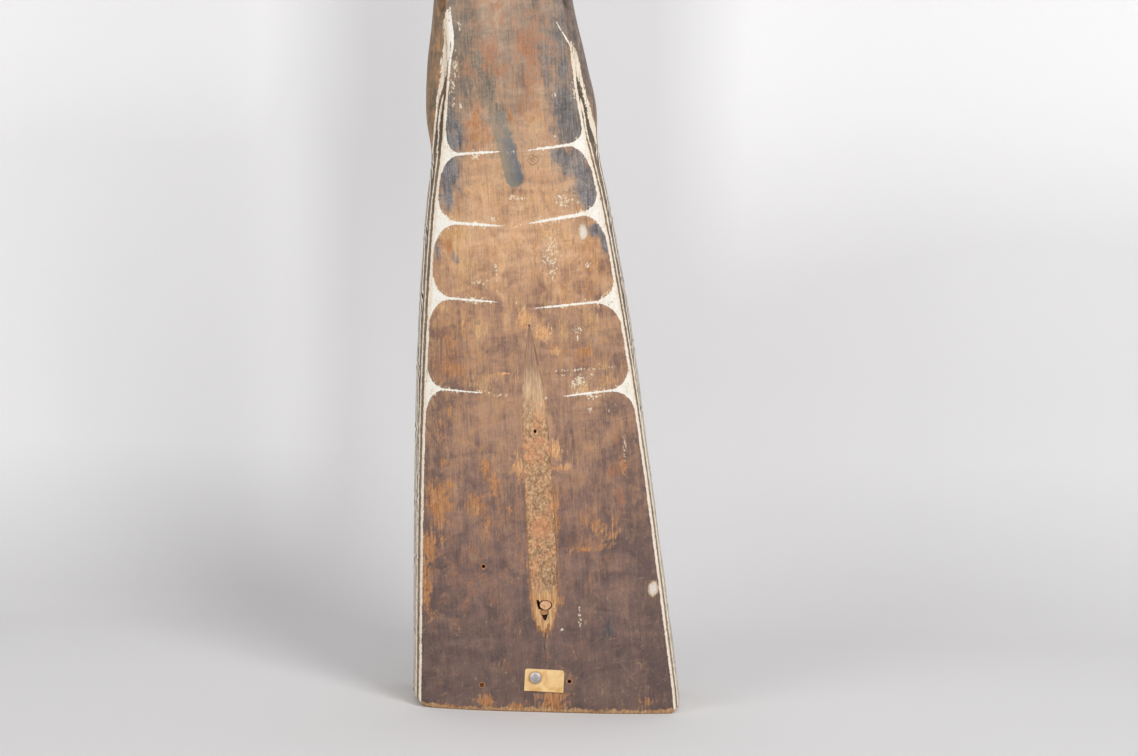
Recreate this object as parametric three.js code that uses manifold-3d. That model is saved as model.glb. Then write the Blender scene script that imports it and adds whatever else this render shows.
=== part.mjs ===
import * as THREE from 'three';
import { LoftGeometry } from 'three/addons/geometries/LoftGeometry.js';
import { mergeVertices } from 'three/addons/utils/BufferGeometryUtils.js';
import Module from 'manifold-3d';

// A canoe prow sawn off its hull and stood on the sawn butt. Millimetres, +Z up, origin in the middle
// of the butt. The broad painted face, once the underside of the hull, looks along -Y.
// The log has a frame of its own: x across the face, y into the wood, z along the grain.

// How the log stands: its lean to the left, its tilt backward, and the height above the floor, in the
// middle of the slanting saw cut, from which the heights along the grain are counted
const LEAN_DEG = 4.8;
const BACK_TILT_DEG = 1.2;
const BUTT_ALLOWANCE = 4.5;

// Stations along the log: half width of the painted face, reach of the left and right flanks,
// how far the face falls away to its edges, depth from face to deck, and how squarely the flanks
// stand out behind the face (0 for a plain bevel, 1 for a full round shoulder)
const BUTT = { height: 0, face: 111.5, left: 119.6, right: 117, crown: 9, depth: 120, shoulder: 0 };
const LOWER = { height: 220, face: 95.3, left: 104.8, right: 100.6, crown: 14, depth: 106, shoulder: 0 };
const MIDDLE = { height: 330, face: 84.5, left: 95, right: 92, crown: 13, depth: 97, shoulder: 0 };
const UPPER = { height: 440, face: 70.5, left: 80.4, right: 78.4, crown: 11, depth: 88, shoulder: 0 };
const NECK = { height: 484, face: 62.5, left: 73.2, right: 72, crown: 10, depth: 85, shoulder: 0.2 };
const CHEEK = { height: 515, face: 58.5, left: 75.6, right: 72.6, crown: 9.5, depth: 86, shoulder: 1 };
const CORNER = { height: 560, face: 53.5, left: 72.2, right: 65.5, crown: 9, depth: 88, shoulder: 1 };
const JAW = { height: 605, face: 48.6, left: 64.7, right: 57.8, crown: 8.5, depth: 90, shoulder: 1 };
const BROW = { height: 690, face: 42, left: 54, right: 51, crown: 8, depth: 88, shoulder: 0.7 };
const SNOUT = { height: 850, face: 32, left: 39, right: 38, crown: 7, depth: 64, shoulder: 0.4 };
const NOSE = { height: 1010, face: 26, left: 31, right: 31, crown: 6, depth: 52, shoulder: 0.4 };
const STATIONS = [BUTT, LOWER, MIDDLE, UPPER, NECK, CHEEK, CORNER, JAW, BROW, SNOUT, NOSE];

// Cross-section of the log
const FACE_FLAT_SHARE = 0.3;
const FACE_CROWN_POWER = 1.8;
const FLANK_WIDEST_SHARE = 0.45;
const DECK_INSET = 8;
const DECK_ARRIS = 6;
const LARGEST_ARRIS_SHARE = 0.25;

// Rounded end of the snout, past the last station
const TIP_LENGTH = 38;
const TIP_END_SHARE = 0.3;

// Facets
const ROW_STEP = 22;
const TIP_ROWS = 6;
const FACE_STEPS = 10;
const FLANK_STEPS = 7;
const DECK_STEPS = 3;

// Mouth: a kerf right through the head from the corner of the jaw to the nose, close behind the
// face at its corner, and zigzag between the teeth
const MOUTH_CORNER_BELOW_JAW = 8;
const MOUTH_CORNER_DEPTH = 16;
const MOUTH_NOSE_DEPTH = 25;
const MOUTH_GAP = 7;
const TEETH_START = 52;
const TOOTH_PITCH = 26;
const TOOTH_DEPTH = 6;

// Eyes and nostrils, carved on the deck side of the head
const EYE = { aboveBrow: 10, offset: 27, across: 15, high: 13, along: 26 };
const NOSTRIL = { belowNose: 2, offset: 10, across: 8, high: 7, along: 13 };

// Heart of the log: a groove down the face, packed with a filling that stops short of the face.
// It swells fast above its foot and runs out to a point.
const HEART = { x: 3.8, foot: 66, top: 331, halfWidth: 12.4 };
const HEART_FOOT = { halfWidth: 4.8, shift: -2, fade: 18 };
const HEART_TOP_POWER = 5;
const HEART_TOP_WIDTH = 1.4;
const HEART_STEPS = 16;
const HEART_DEPTH = 6;
const HEART_SINK = 1.2;

// Wooden plug in an oval hole near the foot of the filling, loose on its left side
const PLUG = { x: 3.8, height: 87.8, halfWidth: 5.4, halfHeight: 4.4, length: 13, sink: 0.6 };
const PLUG_SIDE_GAP = 1.4;

// Iron nail broken off in its hole, and two holes that have lost their nails
const NAIL = { x: -55.3, height: 21.3, radius: 1.6, length: 22, sink: 1 };
const EMPTY_HOLES = [
  { x: -47.7, height: 124.5, radius: 1.6, depth: 8 },
  { x: 20.6, height: 20.3, radius: 1.7, depth: 8 },
];

// Card tag on a drawing pin. The tag turns on the pin's shank.
const PIN = { x: -8.6, height: 25.5, headRadius: 5, headHeight: 1.6, rimHeight: 0.5 };
const PIN_SHANK_RADIUS = 0.55;
const PIN_SHANK_LENGTH = 9;
const PIN_TAPER = 2;
const TAG_WIDTH = 34;
const TAG_HEIGHT = 19.4;
const TAG_THICKNESS = 0.5;
const TAG_PIN_FROM_LEFT = 9.2;
const TAG_PIN_FROM_TOP = 7.6;
const TAG_CORNER = 2;
const TAG_TURN_DEG = -6.3;

// Gap between pieces that touch
const CLEARANCE = 0.3;
// How far a cutting body runs past the surface that it cuts
const CUT_MARGIN = 12;
const ROUND_SEGMENTS = 20;
const DOME_STEPS = 5;

const wasm = await Module();
wasm.setup();

const lean = THREE.MathUtils.degToRad(LEAN_DEG);
const backTilt = THREE.MathUtils.degToRad(BACK_TILT_DEG);
const faceY = -BUTT.depth / 2;
const tipHeight = NOSE.height + TIP_LENGTH;
// Underside of the pin's head: outside the tag, with a gap on each side of it
const pinHeadY = faceY - 2 * CLEARANCE - TAG_THICKNESS;
const pinTipY = pinHeadY + PIN_SHANK_LENGTH;

const SIZES = ['face', 'left', 'right', 'crown', 'depth', 'shoulder'];
const stationSizes = STATIONS.flatMap((station) => SIZES.map((name) => station[name]));
const stationHeights = STATIONS.map((station) => station.height);
const curve = new THREE.CubicInterpolant(stationHeights, stationSizes, SIZES.length);

// Sizes of the log's cross-section at a height along the grain
function sectionAt(height) {
  const [face, left, right, crown, depth, shoulder] = curve.evaluate(Math.min(height, NOSE.height));
  const pastNose = Math.max(0, height - NOSE.height) / TIP_LENGTH;
  const round = Math.max(TIP_END_SHARE, Math.sqrt(1 - Math.min(1, pastNose) ** 2));
  const drawnIn = (1 - round) * depth / 2;
  return {
    face: face * round,
    left: left * round,
    right: right * round,
    crown: crown * round,
    front: faceY + drawnIn,
    back: faceY + depth - drawnIn,
    shoulder: THREE.MathUtils.clamp(shoulder, 0, 1),
  };
}

// How deep the painted face lies at a place across it
function facePoint(x, section) {
  const flat = FACE_FLAT_SHARE * section.face;
  const share = Math.max(0, Math.abs(x) - flat) / (section.face - flat);
  return section.front + section.crown * share ** FACE_CROWN_POWER;
}

// Half of a cross-section, from the middle of the face round one flank to the middle of the deck
function halfSection(section, side) {
  const edge = section.front + section.crown;
  const arris = Math.min(DECK_ARRIS, (section.back - edge) * LARGEST_ARRIS_SHARE);
  const inset = Math.min(DECK_INSET, side * LARGEST_ARRIS_SHARE);
  const flankEnd = section.back - arris;
  const half = [];
  for (let i = 0; i <= FACE_STEPS; i += 1) {
    const x = section.face * i / FACE_STEPS;
    half.push([x, facePoint(x, section)]);
  }
  for (let i = 1; i <= FLANK_STEPS; i += 1) {
    const t = i / FLANK_STEPS;
    const outward = Math.min(1, t / FLANK_WIDEST_SHARE);
    const inward = Math.max(0, t - FLANK_WIDEST_SHARE) / (1 - FLANK_WIDEST_SHARE);
    const bevel = Math.sin(outward * Math.PI / 2);
    const roll = Math.sqrt(1 - (1 - outward) ** 2);
    const swell = (side - section.face) * THREE.MathUtils.lerp(bevel, roll, section.shoulder);
    half.push([section.face + swell - inset * inward ** 2, THREE.MathUtils.lerp(edge, flankEnd, t)]);
  }
  for (let i = 0; i <= DECK_STEPS; i += 1) {
    half.push([(side - inset - arris) * (1 - i / DECK_STEPS), section.back]);
  }
  return half;
}

// One closed cross-section of the log, level with the floor at the butt
function ring(height, level) {
  const section = sectionAt(height);
  const right = halfSection(section, section.right);
  const left = halfSection(section, section.left).slice(1, -1).reverse().map(([x, y]) => [-x, y]);
  return [...right, ...left].map(([x, y]) => {
    const lift = level ? levelCut(x, y) : 0;
    return new THREE.Vector3(x, y, height + lift);
  });
}

// Height along the grain at which the level saw cut of the butt passes a point of the section
function levelCut(x, y) {
  const allowance = BUTT_ALLOWANCE / Math.cos(backTilt);
  return (y * Math.tan(backTilt) - allowance) / Math.cos(lean) - x * Math.tan(lean);
}

function toSolid(geometry) {
  const bare = new THREE.BufferGeometry().copy(geometry);
  bare.deleteAttribute('normal');
  bare.deleteAttribute('uv');
  const merged = mergeVertices(bare, 1e-4);
  return new wasm.Manifold(new wasm.Mesh({
    numProp: 3,
    vertProperties: merged.attributes.position.array,
    triVerts: Uint32Array.from(merged.index.array),
  }));
}

function toGeometry(solid) {
  const mesh = solid.getMesh();
  const geometry = new THREE.BufferGeometry();
  geometry.setAttribute('position', new THREE.BufferAttribute(Float32Array.from(mesh.vertProperties), 3));
  geometry.setIndex(new THREE.BufferAttribute(mesh.triVerts, 1));
  geometry.computeVertexNormals();
  return geometry;
}

// An outline drawn on the face, extruded from an inner depth out to an outer one
function bodyFromFace(shape, inner, outer) {
  const geometry = new THREE.ExtrudeGeometry(shape, {
    depth: inner - outer,
    bevelEnabled: false,
    curveSegments: ROUND_SEGMENTS / 4,
  });
  const across = new THREE.Vector3(1, 0, 0);
  const along = new THREE.Vector3(0, 0, 1);
  const outward = new THREE.Vector3(0, -1, 0);
  geometry.applyMatrix4(new THREE.Matrix4().makeBasis(across, along, outward));
  geometry.translate(0, inner, 0);
  return geometry;
}

// A round rod square to the face, from an inner depth out to an outer one
function rod(x, height, radius, inner, outer) {
  const shape = new THREE.Shape().absarc(x, height, radius, 0, 2 * Math.PI);
  return bodyFromFace(shape, inner, outer);
}

function oval(x, height, halfWidth, halfHeight) {
  return new THREE.Shape().absellipse(x, height, halfWidth, halfHeight, 0, 2 * Math.PI);
}

// Outline of the heart groove, or of its filling when drawn in by a gap
function heartOutline(inset) {
  const left = [];
  const right = [];
  const foot = HEART.foot + inset;
  const top = HEART.top - inset;
  for (let i = 0; i <= HEART_STEPS; i += 1) {
    // Steps close up towards both ends
    const height = foot + (top - foot) * (1 - Math.cos(i / HEART_STEPS * Math.PI)) / 2;
    const share = (height - HEART.foot) / (HEART.top - HEART.foot);
    const nearFoot = Math.exp(-(height - HEART.foot) / HEART_FOOT.fade);
    const swell = HEART.halfWidth - (HEART.halfWidth - HEART_FOOT.halfWidth) * nearFoot;
    const half = Math.max(HEART_TOP_WIDTH / 2, swell * (1 - share ** HEART_TOP_POWER)) - inset;
    const middle = HEART.x + HEART_FOOT.shift * nearFoot;
    left.unshift(new THREE.Vector2(middle - half, height));
    right.push(new THREE.Vector2(middle + half, height));
  }
  return new THREE.Shape([...right, ...left]);
}

// Kerf between the jaws, drawn in the side view and extruded across the head
function mouthKerf() {
  const front = [];
  const back = [];
  const start = JAW.height - MOUTH_CORNER_BELOW_JAW;
  const end = tipHeight + CUT_MARGIN;
  const steps = Math.ceil((end - start) / (TOOTH_PITCH / 2));
  for (let i = 1; i <= steps; i += 1) {
    const z = start + i * TOOTH_PITCH / 2;
    const share = (z - start) / (tipHeight - start);
    const middle = faceY + THREE.MathUtils.lerp(MOUTH_CORNER_DEPTH, MOUTH_NOSE_DEPTH, share);
    const toothed = z - start > TEETH_START;
    const tooth = toothed ? (i % 2 ? 1 : -1) * TOOTH_DEPTH / 2 : 0;
    front.push(new THREE.Vector2(middle - MOUTH_GAP / 2 + tooth, z));
    back.push(new THREE.Vector2(middle + MOUTH_GAP / 2 + tooth, z));
  }
  const corner = new THREE.Vector2(faceY + MOUTH_CORNER_DEPTH, start);
  const shape = new THREE.Shape([corner, ...back, ...front.reverse()]);
  const width = 2 * (JAW.left + CUT_MARGIN);
  const geometry = new THREE.ExtrudeGeometry(shape, { depth: width, bevelEnabled: false });
  const inward = new THREE.Vector3(0, 1, 0);
  const along = new THREE.Vector3(0, 0, 1);
  const across = new THREE.Vector3(1, 0, 0);
  geometry.applyMatrix4(new THREE.Matrix4().makeBasis(inward, along, across));
  geometry.translate(-width / 2, 0, 0);
  return geometry;
}

// A rounded bump on the deck, for an eye or a nostril
function bump(spec, height, side) {
  const geometry = new THREE.SphereGeometry(1, ROUND_SEGMENTS, ROUND_SEGMENTS / 2);
  geometry.scale(spec.across, spec.high, spec.along);
  geometry.translate(side * spec.offset, sectionAt(height).back, height);
  return geometry;
}

// The hole through the filling and on into the log that takes the plug
function plugHole() {
  const halfWidth = PLUG.halfWidth + (PLUG_SIDE_GAP + CLEARANCE) / 2;
  const x = PLUG.x - (PLUG_SIDE_GAP - CLEARANCE) / 2;
  const shape = oval(x, PLUG.height, halfWidth, PLUG.halfHeight + CLEARANCE);
  return bodyFromFace(shape, faceY + PLUG.sink + PLUG.length + CLEARANCE, faceY - CUT_MARGIN);
}

function timberGeometry() {
  const rows = [ring(BUTT.height, true)];
  for (let z = ROW_STEP; z < NOSE.height; z += ROW_STEP) {
    rows.push(ring(z, false));
  }
  for (let i = 0; i <= TIP_ROWS; i += 1) {
    rows.push(ring(NOSE.height + TIP_LENGTH * Math.sin(i / TIP_ROWS * Math.PI / 2), false));
  }
  let solid = toSolid(new LoftGeometry(rows, { capStart: true, capEnd: true }));
  for (const side of [-1, 1]) {
    solid = solid.add(toSolid(bump(EYE, BROW.height + EYE.aboveBrow, side)));
    solid = solid.add(toSolid(bump(NOSTRIL, NOSE.height - NOSTRIL.belowNose, side)));
  }
  const cuts = [
    mouthKerf(),
    bodyFromFace(heartOutline(0), faceY + HEART_DEPTH, faceY - CUT_MARGIN),
    plugHole(),
    rod(PIN.x, PIN.height, PIN_SHANK_RADIUS + CLEARANCE, pinTipY + CLEARANCE, faceY - CUT_MARGIN),
    rod(NAIL.x, NAIL.height, NAIL.radius + CLEARANCE, nailInner() + CLEARANCE, faceY - CUT_MARGIN),
  ];
  for (const hole of EMPTY_HOLES) {
    const surface = facePoint(hole.x, sectionAt(hole.height));
    cuts.push(rod(hole.x, hole.height, hole.radius, surface + hole.depth, faceY - CUT_MARGIN));
  }
  for (const cut of cuts) {
    solid = solid.subtract(toSolid(cut));
  }
  return toGeometry(solid);
}

function fillingGeometry() {
  const inner = faceY + HEART_DEPTH - CLEARANCE;
  const body = toSolid(bodyFromFace(heartOutline(CLEARANCE), inner, faceY + HEART_SINK));
  return toGeometry(body.subtract(toSolid(plugHole())));
}

function plugGeometry() {
  const shape = oval(PLUG.x, PLUG.height, PLUG.halfWidth, PLUG.halfHeight);
  return bodyFromFace(shape, faceY + PLUG.sink + PLUG.length, faceY + PLUG.sink);
}

function nailInner() {
  return facePoint(NAIL.x, sectionAt(NAIL.height)) + NAIL.sink + NAIL.length;
}

function nailGeometry() {
  return rod(NAIL.x, NAIL.height, NAIL.radius, nailInner(), nailInner() - NAIL.length);
}

// Tag outline about the pin's hole, its two upper corners rounded
function tagGeometry() {
  const left = -TAG_PIN_FROM_LEFT;
  const right = TAG_WIDTH - TAG_PIN_FROM_LEFT;
  const top = TAG_PIN_FROM_TOP;
  const bottom = TAG_PIN_FROM_TOP - TAG_HEIGHT;
  const shape = new THREE.Shape();
  shape.moveTo(left, bottom);
  shape.lineTo(right, bottom);
  shape.lineTo(right, top - TAG_CORNER);
  shape.quadraticCurveTo(right, top, right - TAG_CORNER, top);
  shape.lineTo(left + TAG_CORNER, top);
  shape.quadraticCurveTo(left, top, left, top - TAG_CORNER);
  shape.closePath();
  shape.holes.push(new THREE.Path().absarc(0, 0, PIN_SHANK_RADIUS + CLEARANCE, 0, 2 * Math.PI));
  return bodyFromFace(shape, 0, -TAG_THICKNESS);
}

// Domed head and pointed shank, turned about the pin's axis; the head's underside is at zero
function pinGeometry() {
  const profile = [
    new THREE.Vector2(0, -PIN_SHANK_LENGTH),
    new THREE.Vector2(PIN_SHANK_RADIUS, -PIN_SHANK_LENGTH + PIN_TAPER),
    new THREE.Vector2(PIN_SHANK_RADIUS, 0),
    new THREE.Vector2(PIN.headRadius, 0),
  ];
  for (let i = 0; i <= DOME_STEPS; i += 1) {
    const angle = i / DOME_STEPS * Math.PI / 2;
    const dome = (PIN.headHeight - PIN.rimHeight) * Math.sin(angle);
    profile.push(new THREE.Vector2(PIN.headRadius * Math.cos(angle), PIN.rimHeight + dome));
  }
  profile[profile.length - 1].x = 0;
  return new THREE.LatheGeometry(profile, ROUND_SEGMENTS);
}

function piece(name, geometry, color, roughness, metalness = 0) {
  const mesh = new THREE.Mesh(geometry, new THREE.MeshStandardMaterial({ color, roughness, metalness }));
  mesh.name = name;
  return mesh;
}

const log = new THREE.Group();
log.rotation.set(-backTilt, -lean, 0);
log.position.z = BUTT_ALLOWANCE;

log.add(piece('prow_timber', timberGeometry(), '#7d6152', 0.8));
log.add(piece('heart_filling', fillingGeometry(), '#b08d74', 0.95));
log.add(piece('heart_plug', plugGeometry(), '#ddb48c', 0.8));
log.add(piece('nail_stub', nailGeometry(), '#6b3a26', 0.9, 0.3));

const tag = piece('paper_tag', tagGeometry(), '#cbb994', 0.9);
tag.position.set(PIN.x, faceY - CLEARANCE, PIN.height);
tag.rotation.y = -THREE.MathUtils.degToRad(TAG_TURN_DEG);
log.add(tag);

const pin = piece('drawing_pin', pinGeometry(), '#a7a3ad', 0.35, 0.9);
pin.position.set(PIN.x, pinHeadY, PIN.height);
pin.rotation.x = Math.PI;
log.add(pin);

const canoeProw = new THREE.Group();
canoeProw.add(log);

export default canoeProw;
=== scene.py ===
import bpy, bmesh, math
import numpy as np
from mathutils import Euler, Matrix, Vector, noise


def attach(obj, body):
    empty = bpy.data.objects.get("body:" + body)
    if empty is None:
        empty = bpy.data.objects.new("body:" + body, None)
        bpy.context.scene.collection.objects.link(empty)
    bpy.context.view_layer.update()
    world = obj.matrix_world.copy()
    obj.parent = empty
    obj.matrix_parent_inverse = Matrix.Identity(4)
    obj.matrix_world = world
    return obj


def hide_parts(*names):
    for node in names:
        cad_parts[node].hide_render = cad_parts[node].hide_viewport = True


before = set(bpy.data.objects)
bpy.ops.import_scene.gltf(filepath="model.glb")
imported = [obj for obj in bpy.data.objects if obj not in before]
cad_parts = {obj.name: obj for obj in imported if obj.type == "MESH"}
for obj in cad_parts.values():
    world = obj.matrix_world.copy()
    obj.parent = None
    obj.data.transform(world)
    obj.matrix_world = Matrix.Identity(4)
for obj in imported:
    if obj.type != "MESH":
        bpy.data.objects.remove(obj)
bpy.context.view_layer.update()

# Studio: a pale floor that sweeps up into a pale backdrop close behind the prow, painted board
# with no sheen. Two broad soft lamps light the prow from the front, the brighter one on its right.
MM = 0.001
SWEEP_START = 0.32
SWEEP_RADIUS = 0.25
SWEEP_FRONT = -6.0
SWEEP_TOP = 6.0
SWEEP_HALF_WIDTH = 6.0
SWEEP_STEPS = 16


def linear(hex_colour):
    channels = [int(hex_colour[i:i + 2], 16) / 255 for i in (1, 3, 5)]
    return tuple(c / 12.92 if c <= 0.04045 else ((c + 0.055) / 1.055) ** 2.4 for c in channels) + (1.0,)


def new_material(name):
    material = bpy.data.materials.new(name)
    material.use_nodes = True
    material.node_tree.nodes.clear()
    return material


# What the word after a node's kind sets
MODES = {
    "Math": "operation", "VectorMath": "operation", "MapRange": "interpolation_type",
    "MixRGB": "blend_type", "Mapping": "vector_type",
}


def put(material, kind, *values, named=None, stops=(), **settings):
    """Adds one node: its kind and mode, its settings, then its input sockets in order or by name. An
    input is a number or a link, which comes from a socket or from the first output of a node."""
    tree = material.node_tree
    kind, *mode = kind.split()
    if mode:
        settings[MODES[kind]] = mode[0]
    node = tree.nodes.new("ShaderNode" + kind)
    for position, hex_colour in stops[2:]:
        node.color_ramp.elements.new(position)
    for element, (position, hex_colour) in zip(node.color_ramp.elements if stops else (), stops):
        element.position = position
        element.color = linear(hex_colour)
    for key, value in settings.items():
        setattr(node, key, value)
    pairs = list(enumerate(values)) + list((named or {}).items())
    for key, value in pairs:
        if value is None:
            continue
        if isinstance(value, bpy.types.Node):
            value = value.outputs[0]
        if isinstance(value, bpy.types.NodeSocket):
            tree.links.new(value, node.inputs[key])
        else:
            node.inputs[key].default_value = value
    return node


def seen_by_eye(owner):
    """1 for rays that the eye sees, straight, off a mirror or through glass, and 0 for those that light."""
    rays = put(owner, "LightPath").outputs
    seen = rays["Is Camera Ray"]
    for kind in ("Is Glossy Ray", "Is Transmission Ray"):
        seen = put(owner, "Math MAXIMUM", seen, rays[kind])
    return seen


def finish_piece(name, bm, material=None, smooth=True):
    mesh = bpy.data.meshes.new(name)
    bm.to_mesh(mesh)
    bm.free()
    piece = bpy.data.objects.new(name, mesh)
    bpy.context.scene.collection.objects.link(piece)
    mesh.polygons.foreach_set("use_smooth", [smooth] * len(mesh.polygons))
    if material:
        mesh.materials.append(material)
    return piece


board = new_material("matt painted board")
board_place = put(board, "SeparateXYZ", put(board, "TexCoord").outputs["Object"]).outputs
# A faint painted shadow on the wall a little to the left of the prow
painted_shadow = put(board, "Math ABSOLUTE", put(board, "Math", board_place["X"], 0.21))
painted_shadow = put(board, "MapRange SMOOTHSTEP", painted_shadow, 0.02, 0.14, 1, 0)
painted_shadow = put(board, "Math MULTIPLY", painted_shadow, put(board, "MapRange", board_place["Z"], 0.25, 0.5))
board_colour = put(board, "MixRGB", painted_shadow, linear("#e9e8e8"), linear("#dedddd"))
board_shader = put(board, "BsdfPrincipled", named={"Base Color": board_colour, "Roughness": 1.0})
# The board glows softly to the eye away from the prow and up the wall, as a lit backdrop does. The glow
# reaches the camera, mirror and clear rays only, so it lights nothing.
aside = put(board, "MapRange", board_place["X"], -0.34, -0.2, 1, 0)
aside = put(board, "Math MAXIMUM", aside, put(board, "MapRange", board_place["X"], 0.08, 0.2))
glow_high = put(board, "MapRange SMOOTHSTEP", board_place["Z"], 0.22, 0.62, 0, 0.23)
glow_high = put(board, "Math MULTIPLY", glow_high, aside)
glow_left = put(board, "MapRange SMOOTHSTEP", board_place["X"], -0.32, -0.2, 0.17, 0)
glow_right = put(board, "MapRange SMOOTHSTEP", board_place["X"], 0.14, 0.5, 0.03, 0.1)
glow = put(board, "Math MAXIMUM", glow_high, put(board, "Math MAXIMUM", glow_left, glow_right))
glow = put(board, "Math MULTIPLY", glow, put(board, "MapRange", board_place["Z"], 0.02, 0.16))
glow = put(board, "Math MULTIPLY", glow, seen_by_eye(board))
board_glow = put(board, "Emission", linear("#ffffff"), glow)
board_shader = put(board, "AddShader", board_shader, board_glow)
# The board shows from its front only, so that it never stands between the prow and an onlooker behind it
see_through = put(board, "BsdfTransparent")
board_back = put(board, "NewGeometry").outputs["Backfacing"]
put(board, "OutputMaterial", put(board, "MixShader", board_back, board_shader, see_through))

bm = bmesh.new()
profile = [Vector((-SWEEP_HALF_WIDTH, SWEEP_FRONT, 0)), Vector((-SWEEP_HALF_WIDTH, SWEEP_START, 0))]
for i in range(1, SWEEP_STEPS + 1):
    turn = i / SWEEP_STEPS * math.pi / 2
    y = SWEEP_START + SWEEP_RADIUS * math.sin(turn)
    profile.append(Vector((-SWEEP_HALF_WIDTH, y, SWEEP_RADIUS * (1 - math.cos(turn)))))
profile.append(Vector((-SWEEP_HALF_WIDTH, SWEEP_START + SWEEP_RADIUS, SWEEP_TOP)))
line = [bm.verts.new(p) for p in profile]
edges = [bm.edges.new(pair) for pair in zip(line, line[1:])]
swept = bmesh.ops.extrude_edge_only(bm, edges=edges)["geom"]
across = Vector((2 * SWEEP_HALF_WIDTH, 0, 0))
bmesh.ops.translate(bm, verts=[v for v in swept if isinstance(v, bmesh.types.BMVert)], vec=across)
bm.normal_update()
if bm.faces[:][0].normal.z < 0:
    bmesh.ops.reverse_faces(bm, faces=bm.faces[:])
backdrop = finish_piece("studio_sweep", bm, board)


def soft_lamp(name, place, size, watts, aim=Vector((0, 0, 0.4))):
    data = bpy.data.lights.new(name, "AREA")
    data.shape = "DISK"
    data.size = size
    data.energy = watts
    lamp = bpy.data.objects.new(name, data)
    bpy.context.scene.collection.objects.link(lamp)
    lamp.location = place
    lamp.rotation_euler = (aim - place).to_track_quat("-Z", "Y").to_euler()
    return lamp


soft_lamp("key_lamp", Vector((1.3, -2.0, 1.9)), 1.1, 36)
soft_lamp("fill_lamp", Vector((-1.9, -1.9, 1.3)), 1.4, 16.5)
world = bpy.data.worlds.new("studio_air")
world.use_nodes = True
air = world.node_tree.nodes["Background"]
air.inputs["Color"].default_value = linear("#f2f2f4")
# The air lights the prow dimly and looks twice as bright to the eye
air_strength = put(world, "MapRange", seen_by_eye(world), 0, 1, 0.43, 0.86).outputs["Result"]
world.node_tree.links.new(air_strength, air.inputs["Strength"])
bpy.context.scene.world = world
bpy.context.scene.view_settings.view_transform = "Standard"

# Camera: a long lens a little above the middle of the photographed part, looking slightly down, and rolled
# a little, as the photograph's slanting butt shows
SENSOR = 23.6
LENS = 50.0
CAMERA_DISTANCE = 2.073
CAMERA_DROP = math.radians(4.5)
CAMERA_ROLL = math.radians(1.5)
AIM = Vector((0.0116, -0.054, 0.2909))
camera_data = bpy.data.cameras.new("camera")
camera_data.sensor_width = SENSOR
camera_data.lens = LENS
camera = bpy.data.objects.new("camera", camera_data)
bpy.context.scene.collection.objects.link(camera)
camera.location = AIM + CAMERA_DISTANCE * Vector((0, -math.cos(CAMERA_DROP), math.sin(CAMERA_DROP)))
camera_turn = Euler((math.radians(90) - CAMERA_DROP, 0, 0)).to_matrix()
camera_turn = camera_turn @ Matrix.Rotation(CAMERA_ROLL, 3, "Z")
camera.rotation_euler = camera_turn.to_euler()
bpy.context.scene.camera = camera

# The prow: one log of hardwood. The bow of a dugout, sawn off its hull and stood on the saw cut, with
# an animal's long head carved at its tip. The broad face was the underside of the hull.
# The log has a frame of its own: x across the face, y into the wood, z along the grain, in millimetres.
LEAN = math.radians(4.8)
BACK_TILT = math.radians(1.2)
BUTT_ALLOWANCE = 4.5
log_to_room = Matrix.Rotation(-BACK_TILT, 4, "X") @ Matrix.Rotation(-LEAN, 4, "Y")
log_to_room = Matrix.Translation((0, 0, BUTT_ALLOWANCE * MM)) @ log_to_room
log_mm_to_room = log_to_room @ Matrix.Scale(MM, 4)
room_to_log = log_to_room.inverted()
MAPPED_TO_LOG = (room_to_log.translation / MM, (BACK_TILT, LEAN, 0), (1000, 1000, 1000))
FACE_Y = -60
NOSE_HEIGHT = 1010
TIP_LENGTH = 38
TIP_END_SHARE = 0.3
FACE_FLAT_SHARE = 0.3
FACE_CROWN_POWER = 1.8
FLANK_WIDEST_SHARE = 0.45
DECK_INSET = 8
DECK_ARRIS = 6
# Height, half width of the face, reach of the left and right flanks, crown, depth, shoulder
STATIONS = (
    (0, 111.5, 119.6, 117, 9, 120, 0),
    (220, 95.3, 104.8, 100.6, 14, 106, 0),
    (330, 84.5, 95, 92, 13, 97, 0),
    (440, 70.5, 80.4, 78.4, 11, 88, 0),
    (484, 62.5, 73.2, 72, 10, 85, 0.2),
    (515, 58.5, 75.6, 72.6, 9.5, 86, 1),
    (560, 53.5, 72.2, 65.5, 9, 88, 1),
    (605, 48.6, 64.7, 57.8, 8.5, 90, 1),
    (690, 42, 54, 51, 8, 88, 0.7),
    (850, 32, 39, 38, 7, 64, 0.4),
    (NOSE_HEIGHT, 26, 31, 31, 6, 52, 0.4),
)
station_slopes = [
    [(b - a) / (high[0] - low[0]) for a, b in zip(low[1:], high[1:])]
    for low, high in zip(STATIONS, STATIONS[1:])
]


def mix(a, b, share):
    return a + (b - a) * share


def ease(low, high, value):
    share = min(1, max(0, (value - low) / (high - low)))
    return share * share * (3 - 2 * share)


def log_sizes(height):
    """Sizes of the cross-section at a height, on a smooth curve through the stations."""
    height = min(NOSE_HEIGHT, max(0, height))
    k = max(i for i in range(len(station_slopes)) if STATIONS[i][0] <= height)
    low, high = STATIONS[k], STATIONS[k + 1]
    span = high[0] - low[0]
    p = (height - low[0]) / span
    before = station_slopes[max(0, k - 1)]
    here = station_slopes[k]
    after = station_slopes[min(len(station_slopes) - 1, k + 1)]
    sizes = []
    for a, b, s0, s1, s2 in zip(low[1:], high[1:], before, here, after):
        start_slope = (s0 + s1) / 2 * span
        end_slope = (s1 + s2) / 2 * span
        sizes.append(
            a * (2 * p**3 - 3 * p**2 + 1) + b * (3 * p**2 - 2 * p**3)
            + start_slope * (p**3 - 2 * p**2 + p) + end_slope * (p**3 - p**2)
        )
    return sizes


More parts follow.
